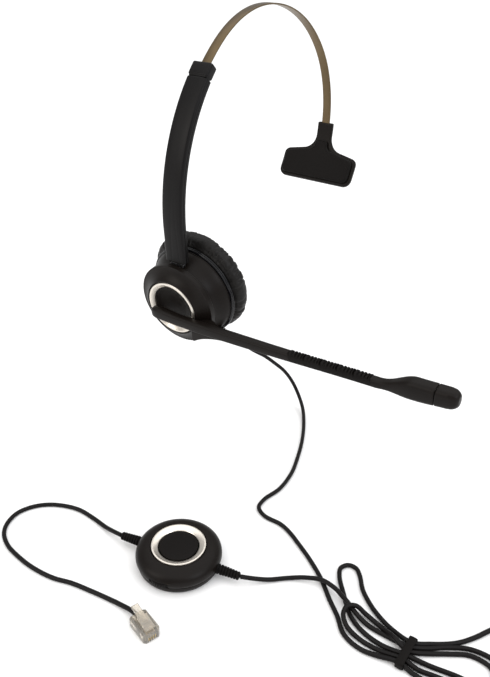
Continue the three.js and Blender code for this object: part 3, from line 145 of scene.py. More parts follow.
# ---------------------------------------------------------------- cords
CORD_RADIUS = 1.0
TIP_GAP = 0.5
RELIEF_EAR = (Vector((9.3, -13.7, -15.1)), Vector((12.4, -26.2, -21.3)))
RELIEF_START, RELIEF_END = 14.7, 28.9
RELIEF_LEVEL, RELIEF_DROP = 4.3, 0.2


def off_tip(place, start, end):
    """The point just off a strain relief's tip, in millimetres."""
    start, end = place @ start / MM, place @ end / MM
    return end + (end - start).normalized() * TIP_GAP


def control_relief(side):
    start = Vector((0, side * RELIEF_START, RELIEF_LEVEL))
    return start, Vector((0, side * RELIEF_END, RELIEF_LEVEL - RELIEF_DROP))


# From the ear cup down to the table and along it to the hank's tie.
FEED = [
    (-57.2, -34.6, 40.3), (-51.4, -39, 34.9), (-47, -43, 29.5), (-42.2, -46.8, 23), (-39, -50.4, 15.5),
    (-38.6, -54.6, 8.1), (-42.4, -60, 3), (-52.5, -66.8, 1.2), (-66.4, -73.9), (-79.1, -78.9),
    (-92.7, -83.1), (-106.3, -84.3), (-116.6, -82.3), (-122.9, -83.2), (-126.1, -88.6), (-126.4, -97.7),
    (-128.2, -103.4), (-132.4, -111.3), (-137.7, -120.3), (-144.3, -129.6), (-151.4, -137.3),
    (-157.3, -144.3), (-163.4, -150.4), (-165.8, -158.5), (-165, -166, 1.4), (-163.8, -171, 1.9),
]
TO_COIL = [
    (-163.3, -174.5, 1.9), (-164.2, -180, 1.1), (-164.3, -188), (-163, -200), (-162.1, -204.4),
    (-160.9, -208.8), (-157.4, -213.2), (-151.6, -217.6), (-147.4, -220.4), (-143.4, -223.1),
]
FROM_COIL = [
    (-118.4, -207.6, 2.6), (-120.3, -204.2, 1.3), (-124.1, -200.4), (-128.8, -197.4), (-134.2, -194.4),
    (-139.6, -190.7), (-143.2, -187.2), (-148, -180.9, 1.2), (-152.3, -174.5, 1.9), (-150.2, -164.5, 1.1),
]
TALL_LOOP = [
    (-147.2, -157.6), (-144.4, -153), (-139.2, -146.8), (-132.7, -142), (-130.1, -138.9),
    (-130.5, -135.3), (-133.8, -133.4), (-138.4, -135.2), (-145.6, -141), (-153.5, -148), (-157.8, -155.5),
    (-159.6, -165, 1.1), (-158.9, -174.5, 1.9), (-157.5, -184, 1.1), (-155.8, -193.4),
]
INNER_TURN = [*arc(-149.5, -200.5, 5.6, 185, 358, 6), (-144.3, -194.8), (-148.3, -188), (-153, -181.2, 1.2)]
SMALL_LOOP = [
    (-156.7, -174.5, 1.9), (-155.2, -168.5, 3.3), (-152.5, -162, 1.6), (-150.2, -153, 1.9),
    (-150.5, -149.2, 3.9), (-153.1, -146.4, 4.4), (-156.8, -146.5, 3.6), (-159.8, -149.6, 1.9),
    (-161.9, -156.5), (-162.3, -165, 1.1), (-161.1, -174.5, 1.9), (-161.5, -181, 1.1), (-160.3, -188),
    (-159.1, -196),
]
OUTER_TURN = [*arc(-149.5, -201, 9, 180, 360, 7), (-141.5, -194), (-145.8, -186.5), (-151, -180, 1.2)]
RETURN = [
    (-154.5, -174.5, 1.9), (-154.6, -165, 1.1), (-154.1, -156, 1.2), (-151.7, -148.6, 2.2),
    (-150.1, -144.9, 3.15), (-148.6, -141.4, 3.2), (-147.1, -138, 3.2), (-146.2, -131.1, 3.2),
    (-148.4, -123.8, 2.2), (-152.2, -117.3, 1.2), (-157.7, -111.4, 1.5), (-162.2, -106.3, 3),
]
LEAD = [
    (-176.3, -39.8, 3.4), (-175.2, -33, 1.7), (-173.8, -23.4), (-173.6, -14.4), (-175.4, -7.3),
    (-179.2, 0), (-184.8, 5.4), (-191.5, 8.1), (-198.2, 7.1), (-203.9, 3.3), (-208.1, -4.1),
    (-210, -13.4), (-210.7, -23.9), (-209.6, -35.1), (-207.1, -43.4), (-205.5, -52.6), (-204.3, -61),
    (-203.7, -68.5, 1.4),
]
COIL_X, COIL_Y = -129, -217


def coil_turns():
    """Three turns side by side from the outside in, then three on top of them from the inside out."""
    made = []
    first, last = 222, 20 + 6 * 360
    for angle in span(first, last, 100):
        turn = (angle - first) / 360
        inner = smooth(turn, 0.8, 1.0) + smooth(turn, 1.8, 2.0)
        outer = smooth(turn, 3.6, 3.8) + smooth(turn, 4.6, 4.8)
        radius = 13.1 - 2.1 * inner + 2.1 * outer
        height = 1.0 + 2.1 * smooth(turn, 2.55, 2.95)
        made.append((*arc(COIL_X, COIL_Y, radius, angle, angle, 1)[0], height))
    return made


def cord(name, route, replaced):
    """A round cord along a route given in millimetres."""
    curve = bpy.data.curves.new(name, "CURVE")
    curve.dimensions = "3D"
    curve.bevel_depth = 1  # each point's radius sets the thickness
    curve.bevel_resolution = 4
    curve.use_fill_caps = True
    points = through(route)
    line = curve.splines.new("POLY")
    line.points.add(len(points) - 1)
    for at, point in zip(line.points, points):
        at.co = (*(point * MM), 1)
        at.radius = CORD_RADIUS * MM
    made = bpy.data.objects.new(name, curve)
    bpy.context.scene.collection.objects.link(made)
    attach(made, "ear_cup")
    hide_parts(*replaced)
    return made


ear_tip = off_tip(EAR, *RELIEF_EAR)
control_tips = {side: off_tip(CONTROL, *control_relief(side)) for side in (-1, 1)}
plug_points = [PLUG @ Vector(p) / MM for p in ((-8.9, 0, 2.2), (-1.3, 0, 2.3))]
main_route = [
    ear_tip,
    *table_points([
        *FEED, *TO_COIL, *coil_turns(), *FROM_COIL, *TALL_LOOP, *INNER_TURN,
        *SMALL_LOOP, *OUTER_TURN, *RETURN,
    ]),
    control_tips[-1],
]
lead_route = [control_tips[1], *table_points(LEAD), *plug_points]
main_cord = cord(
    "cord_main",
    main_route,
    ["cord_feed", "cord_hank", "cord_loop", "cord_coil_in", "cord_coil", "cord_coil_out", "cord_return"],
)
lead_cord = cord("cord_to_plug", lead_route, ["cord_lead"])


# ---------------------------------------------------------------- materials
def material(
    name, color, roughness, metallic=0.0, grain=0.5, depth=0.03, spread=0.25, stretch=(1, 1, 1), **more
):
    """Principled shader whose tone, gloss and fine relief vary over the surface; grain and depth in mm."""
    made = bpy.data.materials.new(name)
    made.use_nodes = True
    tree = made.node_tree
    shader = tree.nodes["Principled BSDF"]
    add = tree.nodes.new
    link = tree.links.new
    place = add("ShaderNodeTexCoord")
    scaled = add("ShaderNodeMapping")
    scaled.inputs["Scale"].default_value = stretch
    link(place.outputs["Object"], scaled.inputs["Vector"])
    fine = add("ShaderNodeTexNoise")
    fine.inputs["Scale"].default_value = 1 / (grain * MM)
    fine.inputs["Detail"].default_value = 3
    link(scaled.outputs["Vector"], fine.inputs["Vector"])
    broad = add("ShaderNodeTexNoise")
    broad.inputs["Scale"].default_value = 60
    broad.inputs["Detail"].default_value = 4
    link(place.outputs["Object"], broad.inputs["Vector"])
    both = add("ShaderNodeMix")
    both.data_type = "FLOAT"
    both.inputs[0].default_value = 0.5
    link(fine.outputs["Fac"], both.inputs[2])
    link(broad.outputs["Fac"], both.inputs[3])
    tone = add("ShaderNodeValToRGB")
    tone.color_ramp.elements[0].position = 0.3
    tone.color_ramp.elements[1].position = 0.7
    tone.color_ramp.elements[0].color = (*[c * (1 - spread) for c in color], 1)
    tone.color_ramp.elements[1].color = (*[min(c * (1 + spread), 1) for c in color], 1)
    link(both.outputs[0], tone.inputs["Fac"])
    link(tone.outputs["Color"], shader.inputs["Base Color"])
    gloss = add("ShaderNodeMapRange")
    gloss.inputs["From Min"].default_value = 0.3
    gloss.inputs["From Max"].default_value = 0.7
    gloss.inputs["To Min"].default_value = roughness * 0.85
    gloss.inputs["To Max"].default_value = min(roughness * 1.15, 1)
    link(both.outputs[0], gloss.inputs["Value"])
    link(gloss.outputs["Result"], shader.inputs["Roughness"])
    relief = add("ShaderNodeBump")
    relief.inputs["Strength"].default_value = 0.6
    relief.inputs["Distance"].default_value = depth * MM
    link(fine.outputs["Fac"], relief.inputs["Height"])
    link(relief.outputs["Normal"], shader.inputs["Normal"])
    shader.inputs["Metallic"].default_value = metallic
    for socket, value in more.items():
        shader.inputs[socket.replace("_", " ")].default_value = value
    return made, relief


def leatherette():
    """Pebbled skin: small cells between soft creases."""
    made, relief = material(
        "leatherette", (0.0060, 0.0052, 0.0046), 0.46, grain=0.9, depth=0.06, spread=0.35,
        Specular_IOR_Level=0.2,
    )
    tree = made.node_tree
    place = tree.nodes.new("ShaderNodeTexCoord")
    cells = tree.nodes.new("ShaderNodeTexVoronoi")
    cells.feature = "SMOOTH_F1"
    cells.inputs["Scale"].default_value = 1100
    cells.inputs["Smoothness"].default_value = 0.35
    tree.links.new(place.outputs["Object"], cells.inputs["Vector"])
    pebbles = tree.nodes.new("ShaderNodeBump")
    pebbles.invert = True
    pebbles.inputs["Strength"].default_value = 0.5
    pebbles.inputs["Distance"].default_value = 0.12 * MM
    tree.links.new(cells.outputs["Distance"], pebbles.inputs["Height"])
    tree.links.new(pebbles.outputs["Normal"], relief.inputs["Normal"])
    return made


def foam_cloth():
    """Open woven cloth over the loudspeaker."""
    made, relief = material("foam_cloth", (0.012, 0.012, 0.012), 0.9, grain=0.3, depth=0.05, Sheen_Weight=0.2)
    tree = made.node_tree
    place = tree.nodes.new("ShaderNodeTexCoord")
    previous = None
    for direction in ("Y", "Z"):
        threads = tree.nodes.new("ShaderNodeTexWave")
        threads.bands_direction = direction
        threads.inputs["Scale"].default_value = 500
        tree.links.new(place.outputs["Object"], threads.inputs["Vector"])
        weave = tree.nodes.new("ShaderNodeBump")
        weave.inputs["Distance"].default_value = 0.1 * MM
        tree.links.new(threads.outputs["Fac"], weave.inputs["Height"])
        if previous:
            tree.links.new(previous.outputs["Normal"], weave.inputs["Normal"])
        previous = weave
    tree.links.new(previous.outputs["Normal"], relief.inputs["Normal"])
    return made


LOOKS = {
    "band_steel": material(
        "band_steel", (0.135, 0.098, 0.055), 0.36, 1.0, grain=0.12, depth=0.006, stretch=(0.03, 1, 0.03),
    )[0],
    "arm_plastic": material(
        "arm_plastic", (0.0050, 0.0045, 0.0046), 0.42, grain=0.35, depth=0.008, Specular_IOR_Level=0.14,
    )[0],
    "shell_plastic": material(
        "shell_plastic", (0.0062, 0.0045, 0.0036), 0.4, grain=0.3, depth=0.008, Specular_IOR_Level=0.13,
    )[0],
    "soft_plastic": material(
        "soft_plastic", (0.0048, 0.0038, 0.0033), 0.55, grain=0.25, depth=0.015, Specular_IOR_Level=0.1,
    )[0],
    "gloss_plastic": material(
        "gloss_plastic", (0.004, 0.004, 0.005), 0.2, grain=0.6, depth=0.003, Specular_IOR_Level=0.3,
    )[0],
    "chrome_trim": material(
        "chrome_trim", (0.74, 0.69, 0.62), 0.3, 1.0, grain=0.8, depth=0.002, spread=0.05,
    )[0],
    "steel": material("steel", (0.42, 0.42, 0.43), 0.33, 1.0, grain=0.2, depth=0.004, spread=0.12)[0],
    "leatherette": leatherette(),
    "foam": foam_cloth(),
    "rubber": material(
        "rubber", (0.0042, 0.0036, 0.0034), 0.6, grain=0.25, depth=0.02, Specular_IOR_Level=0.1,
    )[0],
    "cord_jacket": material(
        "cord_jacket", (0.0055, 0.0046, 0.0046), 0.42, grain=0.5, depth=0.012, Specular_IOR_Level=0.14,
    )[0],
    "clear_plastic": material(
        "clear_plastic", (0.80, 0.74, 0.64), 0.1, grain=1.2, depth=0.002, spread=0.03,
        Transmission_Weight=0.8, IOR=1.5,
    )[0],
    "gold": material("gold", (0.80, 0.60, 0.27), 0.22, 1.0, grain=0.2, depth=0.002, spread=0.08)[0],
    "board": material("board", (0.02, 0.10, 0.05), 0.4, grain=0.8, depth=0.01, spread=0.2)[0],
    "diaphragm": material("diaphragm", (0.10, 0.10, 0.105), 0.3, grain=0.5, depth=0.005)[0],
}


def dress(obj, slot, sharp=35):
    """Material of a slot and smooth shading broken at sharp edges."""
    obj.data.materials.clear()
    obj.data.materials.append(LOOKS[slot])
    if obj.type == "MESH":
        obj.data.shade_smooth()
        obj.data.set_sharp_from_angle(angle=sharp * DEG)


for node, obj in frame["nodes"].items():
    dress(obj, SLOT_OF[node])
for made in (main_cord, lead_cord):
    dress(made, "cord_jacket")


# ---------------------------------------------------------------- mesh building
def skin(rings, caps=True, joined=False):
    """Faces over rings of equal point counts; joined closes the last ring on the first."""
    count = len(rings[0])
    vertices = [tuple(p) for ring in rings for p in ring]
    faces = []
    for s in range(len(rings) if joined else len(rings) - 1):
        low, high = s * count, (s + 1) % len(rings) * count
        for i in range(count):
            j = (i + 1) % count
            faces.append((low + i, low + j, high + j, high + i))
    if caps and not joined:
        faces.append(tuple(reversed(range(count))))
        faces.append(tuple(range(len(vertices) - count, len(vertices))))
    return vertices, faces


def turned(profile, segments=128, axis="x", shift=None):
    """A closed profile of (radius, place along the axis), turned about the axis."""
    rings = []
    for angle in span(0, 2 * math.pi, segments)[:-1]:
        ring = []
        for radius, along in profile:
            if shift:
                radius, along = shift(radius, along, angle)
            u, v = radius * math.cos(angle), radius * math.sin(angle)
            ring.append((along, u, v) if axis == "x" else (u, v, along))
        rings.append(ring)
    return skin(rings, joined=True)


def rounded(corners, steps=4):
    """Outline whose corners carry a radius as their third value."""
    made = []
    for i, corner in enumerate(corners):
        here = Vector(corner[:2])
        if len(corner) < 3:
            made.append(tuple(here))
            continue
        before = Vector(corners[i - 1][:2]) - here
        after = Vector(corners[(i + 1) % len(corners)][:2]) - here
        half = before.angle(after) / 2
        back = min(corner[2] / math.tan(half), 0.48 * before.length, 0.48 * after.length)
        start, end = here + before.normalized() * back, here + after.normalized() * back
        weight = math.sin(half)
        for t in span(0, 1, steps):
            a, b, c = (1 - t) ** 2, 2 * t * (1 - t) * weight, t**2
            made.append(tuple((start * a + here * b + end * c) / (a + b + c)))
    return made


def inset(corners, distance):
    """The corners of a counterclockwise outline, set in, with their radii."""
    made = []
    for i, corner in enumerate(corners):
        here = Vector(corner[:2])
        d0 = (here - Vector(corners[i - 1][:2])).normalized()
        d1 = (Vector(corners[(i + 1) % len(corners)][:2]) - here).normalized()
        n0, n1 = Vector((-d0.y, d0.x)), Vector((-d1.y, d1.x))
        point = here + (n0 + n1) * distance / (1 + n0.dot(n1))
        convex = d0.x * d1.y - d0.y * d1.x > 0
        radius = max(corner[2] - distance, 0.05) if convex else corner[2] + distance
        made.append((point.x, point.y, radius))
    return made


def slab(corners, levels, steps=5):
    """Closed skin between copies of an outline, each set in and raised: levels are (inset, height)."""
    return skin([
        [(x, y, height) for x, y in rounded(inset(corners, distance), steps)] for distance, height in levels
    ])


def rectangle(width, height, corner, cu=0.0, cv=0.0):
    u, v = width / 2, height / 2
    return [(cu + a, cv + b, corner) for a, b in ((u, v), (-u, v), (-u, -v), (u, -v))]


def solid(name, shape, place=PART):
    mesh = bpy.data.meshes.new(name)
    mesh.from_pydata(shape[0], [], shape[1])
    mesh.transform(place)
    work = bmesh.new()
    work.from_mesh(mesh)
    bmesh.ops.remove_doubles(work, verts=work.verts, dist=1e-7)
    bmesh.ops.recalc_face_normals(work, faces=work.faces)
    work.to_mesh(mesh)
    work.free()
    made = bpy.data.objects.new(name, mesh)
    bpy.context.scene.collection.objects.link(made)
    return made


def combine(obj, others, operation="DIFFERENCE"):
    """Cuts the others from obj, or joins them to it."""
    for other in others:
        modifier = obj.modifiers.new("combine", "BOOLEAN")
        modifier.operation = operation
        modifier.solver = "EXACT"
        modifier.object = other
    graph = bpy.context.evaluated_depsgraph_get()
    mesh = bpy.data.meshes.new_from_object(obj.evaluated_get(graph))
    obj.modifiers.clear()
    obj.data = mesh
    for other in others:
        bpy.data.objects.remove(other)
    return obj


def settle(obj, *nodes, sharp=35, slot=None):
    """obj stands for the CAD nodes: it takes their body, slot and finish."""
    slot = slot or SLOT_OF[nodes[0]]
    dress(obj, slot, sharp)
    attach(obj, BODY_OF[nodes[0]])
    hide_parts(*nodes)
    return obj


def box(x0, x1, y0, y1, z0, z1):
    ring = [(x0, y0), (x1, y0), (x1, y1), (x0, y1)]
    return skin([[(x, y, z) for x, y in ring] for z in (z0, z1)])


def rod(radius, start, end, segments=32):
    """A round bar between two points."""
    start, end = Vector(start), Vector(end)
    turn = Vector((0, 0, 1)).rotation_difference(end - start)
    rings = []
    for at in (start, end):
        rings.append([
            at + turn @ Vector((radius * math.cos(a), radius * math.sin(a), 0))
            for a in span(0, 2 * math.pi, segments)[:-1]
        ])
    return skin(rings)


def laid(profile, start, end, segments=48):
    """A turned profile laid from one point towards another."""
    turn = Vector((1, 0, 0)).rotation_difference(end - start)
    vertices, faces = turned(profile, segments)
    return [tuple(start + turn @ Vector(p)) for p in vertices], faces


# ---------------------------------------------------------------- headband
CROWN_RADIUS, CROWN_ANGLE = 66, -37.2 * DEG
SLIDE_RADIUS = 98
PAD_SIDE_RADIUS, PAD_SIDE_ANGLE = 78.5, 51.5 * DEG
PAD_END_RADIUS = 65
STRIP_WIDTH, STRIP_THICKNESS = 5.5, 0.8
STRIP_INNER_END = -82 * DEG
STRIP_IN_STEM = 14
TBAR_TOP_ANGLE = 94.4 * DEG


def outward(angle):
    return Vector((math.sin(angle), 0, math.cos(angle)))


crown_centre = Vector((0, 0, STRIP_THICKNESS / 2 - CROWN_RADIUS))
slide_centre = Vector(joints["band_slide"]["pos_m"]) / MM
pad_side_centre = Vector((0, 0, STRIP_THICKNESS / 2 - PAD_SIDE_RADIUS))
pad_end_centre = pad_side_centre + outward(PAD_SIDE_ANGLE) * (PAD_SIDE_RADIUS - PAD_END_RADIUS)


def band_point(angle, across=0.0, offset=0.0):
    """Point of the headband's curve at a tangent angle, moved across it and outwards from it."""
    centre, radius = crown_centre, CROWN_RADIUS
    if angle < CROWN_ANGLE:
        centre, radius = slide_centre, SLIDE_RADIUS
    elif angle > PAD_SIDE_ANGLE:
        centre, radius = pad_end_centre, PAD_END_RADIUS
    elif angle > 0:
        centre, radius = pad_side_centre, PAD_SIDE_RADIUS
    return centre + outward(angle) * (radius + offset) + Vector((0, across, 0))


def band_skin(start, end, count, outline):
    """Skin along the band; outline(t) gives the section at a share of the way."""
    return skin([
        [band_point(mix(start, end, t), u, v) for u, v in outline(t)] for t in span(0, 1, count)
    ])


def band_slot(start, end, room=0.3):
    section = rounded(rectangle(STRIP_WIDTH + 2 * room, STRIP_THICKNESS + 2 * room, 0.2), 2)
    return solid("slot", band_skin(start, end, 16, lambda t: section))


strip_section = rounded(rectangle(STRIP_WIDTH, STRIP_THICKNESS, 0.28), 3)
strip_end = TBAR_TOP_ANGLE + STRIP_IN_STEM / PAD_END_RADIUS
strip_skin = band_skin(STRIP_INNER_END, strip_end, 260, lambda t: strip_section)
settle(solid("headband_strip", strip_skin), "band_strip")

# T-bar: its outline lies flat as (across, down the bar), then follows the band's curve.
TBAR_LENGTH, TBAR_HALF_WIDTH, STEM_HALF = 37.5, 25.9, 5.2
tbar_corners = [
    (STEM_HALF, 0, 0.7), (STEM_HALF, 15.75, 9), (TBAR_HALF_WIDTH, 19.8, 4),
    (TBAR_HALF_WIDTH, TBAR_LENGTH, 5), (-TBAR_HALF_WIDTH, TBAR_LENGTH, 5), (-TBAR_HALF_WIDTH, 19.8, 4),
    (-STEM_HALF, 15.75, 9), (-STEM_HALF, 0, 0.7),
]


def on_tbar(shape, name):
    """Slices a flat shape across and lays it on the T-bar's curve."""
    made = solid(name, shape, Matrix.Identity(4))
    work = bmesh.new()
    work.from_mesh(made.data)
    for cut in span(1, TBAR_LENGTH - 1, 35):
        bmesh.ops.bisect_plane(
            work,
            geom=[*work.verts, *work.edges, *work.faces],
            dist=1e-4,
            plane_co=(0, cut, 0),
            plane_no=(0, 1, 0),
        )
    for vertex in work.verts:
        u, down, v = vertex.co
        vertex.co = band_point(TBAR_TOP_ANGLE + down / PAD_END_RADIUS, u, v) * MM
    bmesh.ops.recalc_face_normals(work, faces=work.faces)
    work.to_mesh(made.data)
    work.free()
    return made


tbar_levels = [
    (2.6, -0.95), (1.0, -0.95), (0.45, -0.9), (0.15, -0.7), (0, -0.35), (0, 0.9), (0.15, 1.5),
    (0.5, 1.9), (1.1, 2.12), (2.6, 2.2),
]
tbar = on_tbar(slab(tbar_corners, tbar_levels, 8), "tbar_body")
combine(tbar, [band_slot(TBAR_TOP_ANGLE - DEG, strip_end + 0.3 / PAD_END_RADIUS)])
settle(tbar, "tbar_shell", sharp=40)

PAD_TOP = 11.5
pad_corners = [
    (4.0, PAD_TOP, 1.2), (4.9, 16.6, 9), (24.1, 21.3, 3), (24.1, 35.7, 3.4), (-24.1, 35.7, 3.4),
    (-24.1, 21.3, 3), (-4.9, 16.6, 9), (-4.0, PAD_TOP, 1.2),
]
pad_levels = [
    (0.6, -1.3), (0.15, -1.3), (0, -1.5), (0, -2.2), (0.15, -2.75), (0.5, -3.15), (1.1, -3.4), (2.0, -3.5),
]
settle(on_tbar(slab(pad_corners, pad_levels, 8), "tbar_cushion"), "tbar_pad", sharp=50)

# ---------------------------------------------------------------- slider arm
ARM_WIDTH = 12.3
ARM_TOP_ANGLE, ARM_CAP_TOP_ANGLE, ARM_END_ANGLE = -50.3 * DEG, -46 * DEG, -94.5 * DEG
FOOT_LENGTH, FOOT_END = 24.1, 7.1
half_arm = ARM_WIDTH / 2
arc_length = (ARM_TOP_ANGLE - ARM_END_ANGLE) * SLIDE_RADIUS
arm_length = arc_length + FOOT_LENGTH - FOOT_END
arm_down = Vector((-math.cos(ARM_END_ANGLE), 0, math.sin(ARM_END_ANGLE)))


def arm_point(down, across, offset):
    """Point at a length down the arm: along the arc, then straight on."""
    if down <= arc_length:
        return band_point(ARM_TOP_ANGLE - down / SLIDE_RADIUS, across, offset)
    return band_point(ARM_END_ANGLE, across, offset) + arm_down * (down - arc_length)


def arm_face(down):
    """Outer section: softly crowned, with two shallow flutes that deepen towards the foot."""
    foot = smooth(down / arm_length, 0.45, 1)
    sides = [(half_arm, 0.15), (half_arm, 1.0), (half_arm - 0.12, 1.5), (half_arm - 0.4, 1.92)]
    crown = []
    for u in span(5.3, -5.3, 52):
        level_here = 2.6 - 0.42 * abs(u / 5.3) ** 3.2
        for middle, width in ((mix(-1.2, 1.3, foot), 0.55), (mix(-1.6, -3.3, foot), 0.5)):
            level_here -= 0.07 * foot * math.exp(-(((u - middle) / width) ** 2))
        crown.append((u, level_here))
    return [*sides, *crown, *[(-u, v) for u, v in reversed(sides)]]


def arm_back(down):
    t = -2.3
    corners = [(half_arm, -0.15), (half_arm, t, 0.9), (-half_arm, t, 0.9), (-half_arm, -0.15)]
    return rounded(corners, 5)


def arm_shell(name, section):
    places = [0, 0.12, *span(0.5, arm_length - 0.5, 70), arm_length - 0.12, arm_length]
    rings = []
    for i, down in enumerate(places):
        shrink = 0.965 if i in (0, len(places) - 1) else 1
        rings.append([
            arm_point(down, u * shrink, v * (shrink if abs(v) > 0.2 else 1)) for u, v in section(down)
        ])
    return solid(name, skin(rings))


def tongue_pocket():
    return solid("pocket", box(-1.4, 1.4, -4.3, 4.3, FOOT_END - 1, 15.8), FOOT)


outer_shell = arm_shell("arm_front", arm_face)
combine(outer_shell, [tongue_pocket()])
settle(outer_shell, "arm_outer_shell", sharp=40)
inner_shell = arm_shell("arm_back", arm_back)
screw_room = solid("room", rod(2.3, (1.5, 0, 12.1), (5, 0, 12.1)), FOOT)
combine(inner_shell, [tongue_pocket(), screw_room])
settle(inner_shell, "arm_inner_shell", sharp=40)

cap_low = ARM_TOP_ANGLE + 0.3 / SLIDE_RADIUS
cap_profile = [
    (0, 1.25), (0.05, 0.95), (0.4, 0.85), (0.7, 0.6), (0.95, 0.15), (1.2, 0), (3, 0), (5.5, 0), (6.75, 0.02),
    (7.1, 0.15), (7.3, 0.5),
]
cap_rings = []
for along, waist in cap_profile:
    section = rounded(rectangle(ARM_WIDTH - 0.5 - waist, 5.4 - waist, 1.1, 0, 0.15), 5)
    cap_rings.append([band_point(cap_low + along / SLIDE_RADIUS, u, v) for u, v in section])
end_cap = solid("arm_top_cap", skin(cap_rings))
combine(end_cap, [band_slot(cap_low - DEG, ARM_CAP_TOP_ANGLE + DEG)])
settle(end_cap, "arm_end_cap", sharp=40)

# ---------------------------------------------------------------- ear cup
HOUSING_FRONT, HOUSING_REAR = 3.6, 13.8
FRONT_RADIUS, REAR_RADIUS = 21.3, 25.6
PIN_HEIGHT = 16.77


def bell(a):
    """Outer radius of the housing at a place along the ear axis."""
    return mix(FRONT_RADIUS, REAR_RADIUS - 0.1, smooth(a, 3.2, 14.6) ** 1.15) - 0.1


housing_profile = [
    (5.8, HOUSING_FRONT), (FRONT_RADIUS - 0.5, HOUSING_FRONT), (FRONT_RADIUS - 0.15, 3.72),
    *[(bell(a), a) for a in span(4.0, 12.6, 22)],
    (REAR_RADIUS - 0.45, 13.1), (REAR_RADIUS - 0.05, 13.35), (REAR_RADIUS - 0.05, 13.65),
    (REAR_RADIUS - 0.2, HOUSING_REAR), (24, HOUSING_REAR), (22.6, 11.4), (20.6, 8.9), (19.7, 6.2),
    (19.7, 5.4), (5.8, 5.4),
]
housing = solid("ear_housing", turned(housing_profile, 160), EAR)
slot_room = solid("slot", box(2.6, 8.6, -4.3, 4.3, PIN_HEIGHT - 3.4, 27), EAR)
relief_room = solid("room", laid([(0, 0), (2.7, 0), (2.5, 7), (2.4, 9), (0, 9)], *RELIEF_EAR), EAR)
combine(housing, [slot_room, relief_room])
settle(housing, "speaker_housing")

collar_profile = [(23.4, 14.1), (25.9, 14.1)]
for start in (14.15, 15.3):
    collar_profile += [
        (26.15, start), (26.5, start + 0.18), (26.62, start + 0.5), (26.5, start + 0.82), (26.1, start + 1),
    ]
collar_profile += [(25.9, 16.35), (23.4, 16.35)]
settle(solid("cushion_clamp", turned(collar_profile, 160), EAR), "cushion_collar", sharp=60)

# Cushion: a soft ring with gathered creases over its outer wall and a sewn seam near its face.
CUSHION_MIDDLE, CUSHION_HALF_WIDTH, CUSHION_HALF_DEPTH = 20.9, 8.4, 5.45
CUSHION_DEPTH, CUSHION_RAISE, CUSHION_TILT = 22.2, 1.6, -1.6 * DEG
creases = random.Random(7)
crease_list = [
    tuple(creases.uniform(*ends) for ends in ((0, 2 * math.pi), (0.010, 0.03), (0.15, 0.5), (-0.25, 0.25)))
    for _ in range(74)
]


def swell(value, power):
    return math.copysign(abs(value) ** power, value)


def cushion_ring(count=72, segments=320):
    rings = []
    for angle in span(0, 2 * math.pi, segments)[:-1]:
        ring = []
        for turn in span(0, 2 * math.pi, count)[:-1]:
            c, s = swell(math.cos(turn), 0.82), swell(math.sin(turn), 0.8)
            radius = CUSHION_MIDDLE + CUSHION_HALF_WIDTH * c
            depth = CUSHION_DEPTH + CUSHION_HALF_DEPTH * s
            wall = smooth(c, -0.1, 0.9)
            push = 0.0
            for place, width, deep, slant in crease_list:
                off = (angle - place - slant * (depth - 22) * 0.06 + math.pi) % (2 * math.pi) - math.pi
                push -= deep * math.exp(-((off / width) ** 2)) * wall
            here = Vector((depth * 0.25, radius * math.cos(angle) * 0.22, radius * math.sin(angle) * 0.22))
            push += 0.28 * noise.noise(here) + 0.12 * noise.noise(here * 3.1)
            push -= 0.35 * math.exp(-(((turn - 0.95) / 0.05) ** 2))
            push -= 0.30 * math.exp(-(((turn - 5.35) / 0.06) ** 2))
            radius += push * math.cos(turn)
            depth += push * math.sin(turn)
            ring.append((depth, radius * math.cos(angle), radius * math.sin(angle)))
        rings.append(ring)
    return skin(rings, joined=True)


tilted = EAR @ Matrix.Translation((0, 0, CUSHION_RAISE)) @ Matrix.Rotation(CUSHION_TILT, 4, "Y")
cushion = settle(solid("ear_pad", cushion_ring(), tilted), "ear_cushion", sharp=80)

relief_length = (RELIEF_EAR[1] - RELIEF_EAR[0]).length
relief_profile = [(0, 0.2), (2.3, 0.2), (2.3, 5.4)]
for k in range(6):
    at, wide = 5.6 + k * 1.35, mix(2.25, 1.65, k / 6)
    relief_profile += [(wide - 0.35, at), (wide - 0.35, at + 0.35), (wide, at + 0.5), (wide - 0.04, at + 1.3)]
relief_profile += [(1.45, relief_length - 0.1), (1.3, relief_length), (0, relief_length)]
settle(solid("ear_strain_relief", laid(relief_profile, *RELIEF_EAR), EAR), "cord_relief_ear", sharp=50)

# ---------------------------------------------------------------- boom
CAP_RADIUS, CAP_SKIRT, CAP_DOME = 23, 3, 4.3
RING_OUTER, RING_INNER, RING_PROUD = 15.2, 12.2, 4.6
BOOM_FLEX_START, BOOM_FLEX_END = -76, -119
MIC_SEAM, BOOM_TIP = -147, -157.5
NOSE_RADIUS, NOSE_REACH = 3.0, 2.2  # each link has a round nose, which turns in the hollow end before it
PIVOT_SETBACK = 1.55  # from a link's seam to its hinge's place in the frame


def end_bulge(y, start, end):
    """Share of the round nose in a link's cross-section, which fades within the reach of either end."""
    return max(1 - (start - y) / NOSE_REACH, 1 - (y - end) / NOSE_REACH, 0)


def boom_centre(y):
    along = min(max((-20 - y) / 100, 0), 1.4)
    rise = 0.9 * smooth(-y, 60, 119) + 3.3 * smooth(-y, 119, 138) + 0.8 * smooth(-y, 138, 155)
    return -7.3 + 2.6 * along, -3.6 + 1.8 * along + rise


def boom_size(y):
    taper, head, tip = smooth(-y, 15, 118), smooth(-y, 122, 137), smooth(-y, 138, 155)
    return mix(4.8, 7.5, head), mix(mix(5.8, 4.2, taper), mix(10.1, 9, tip), head)


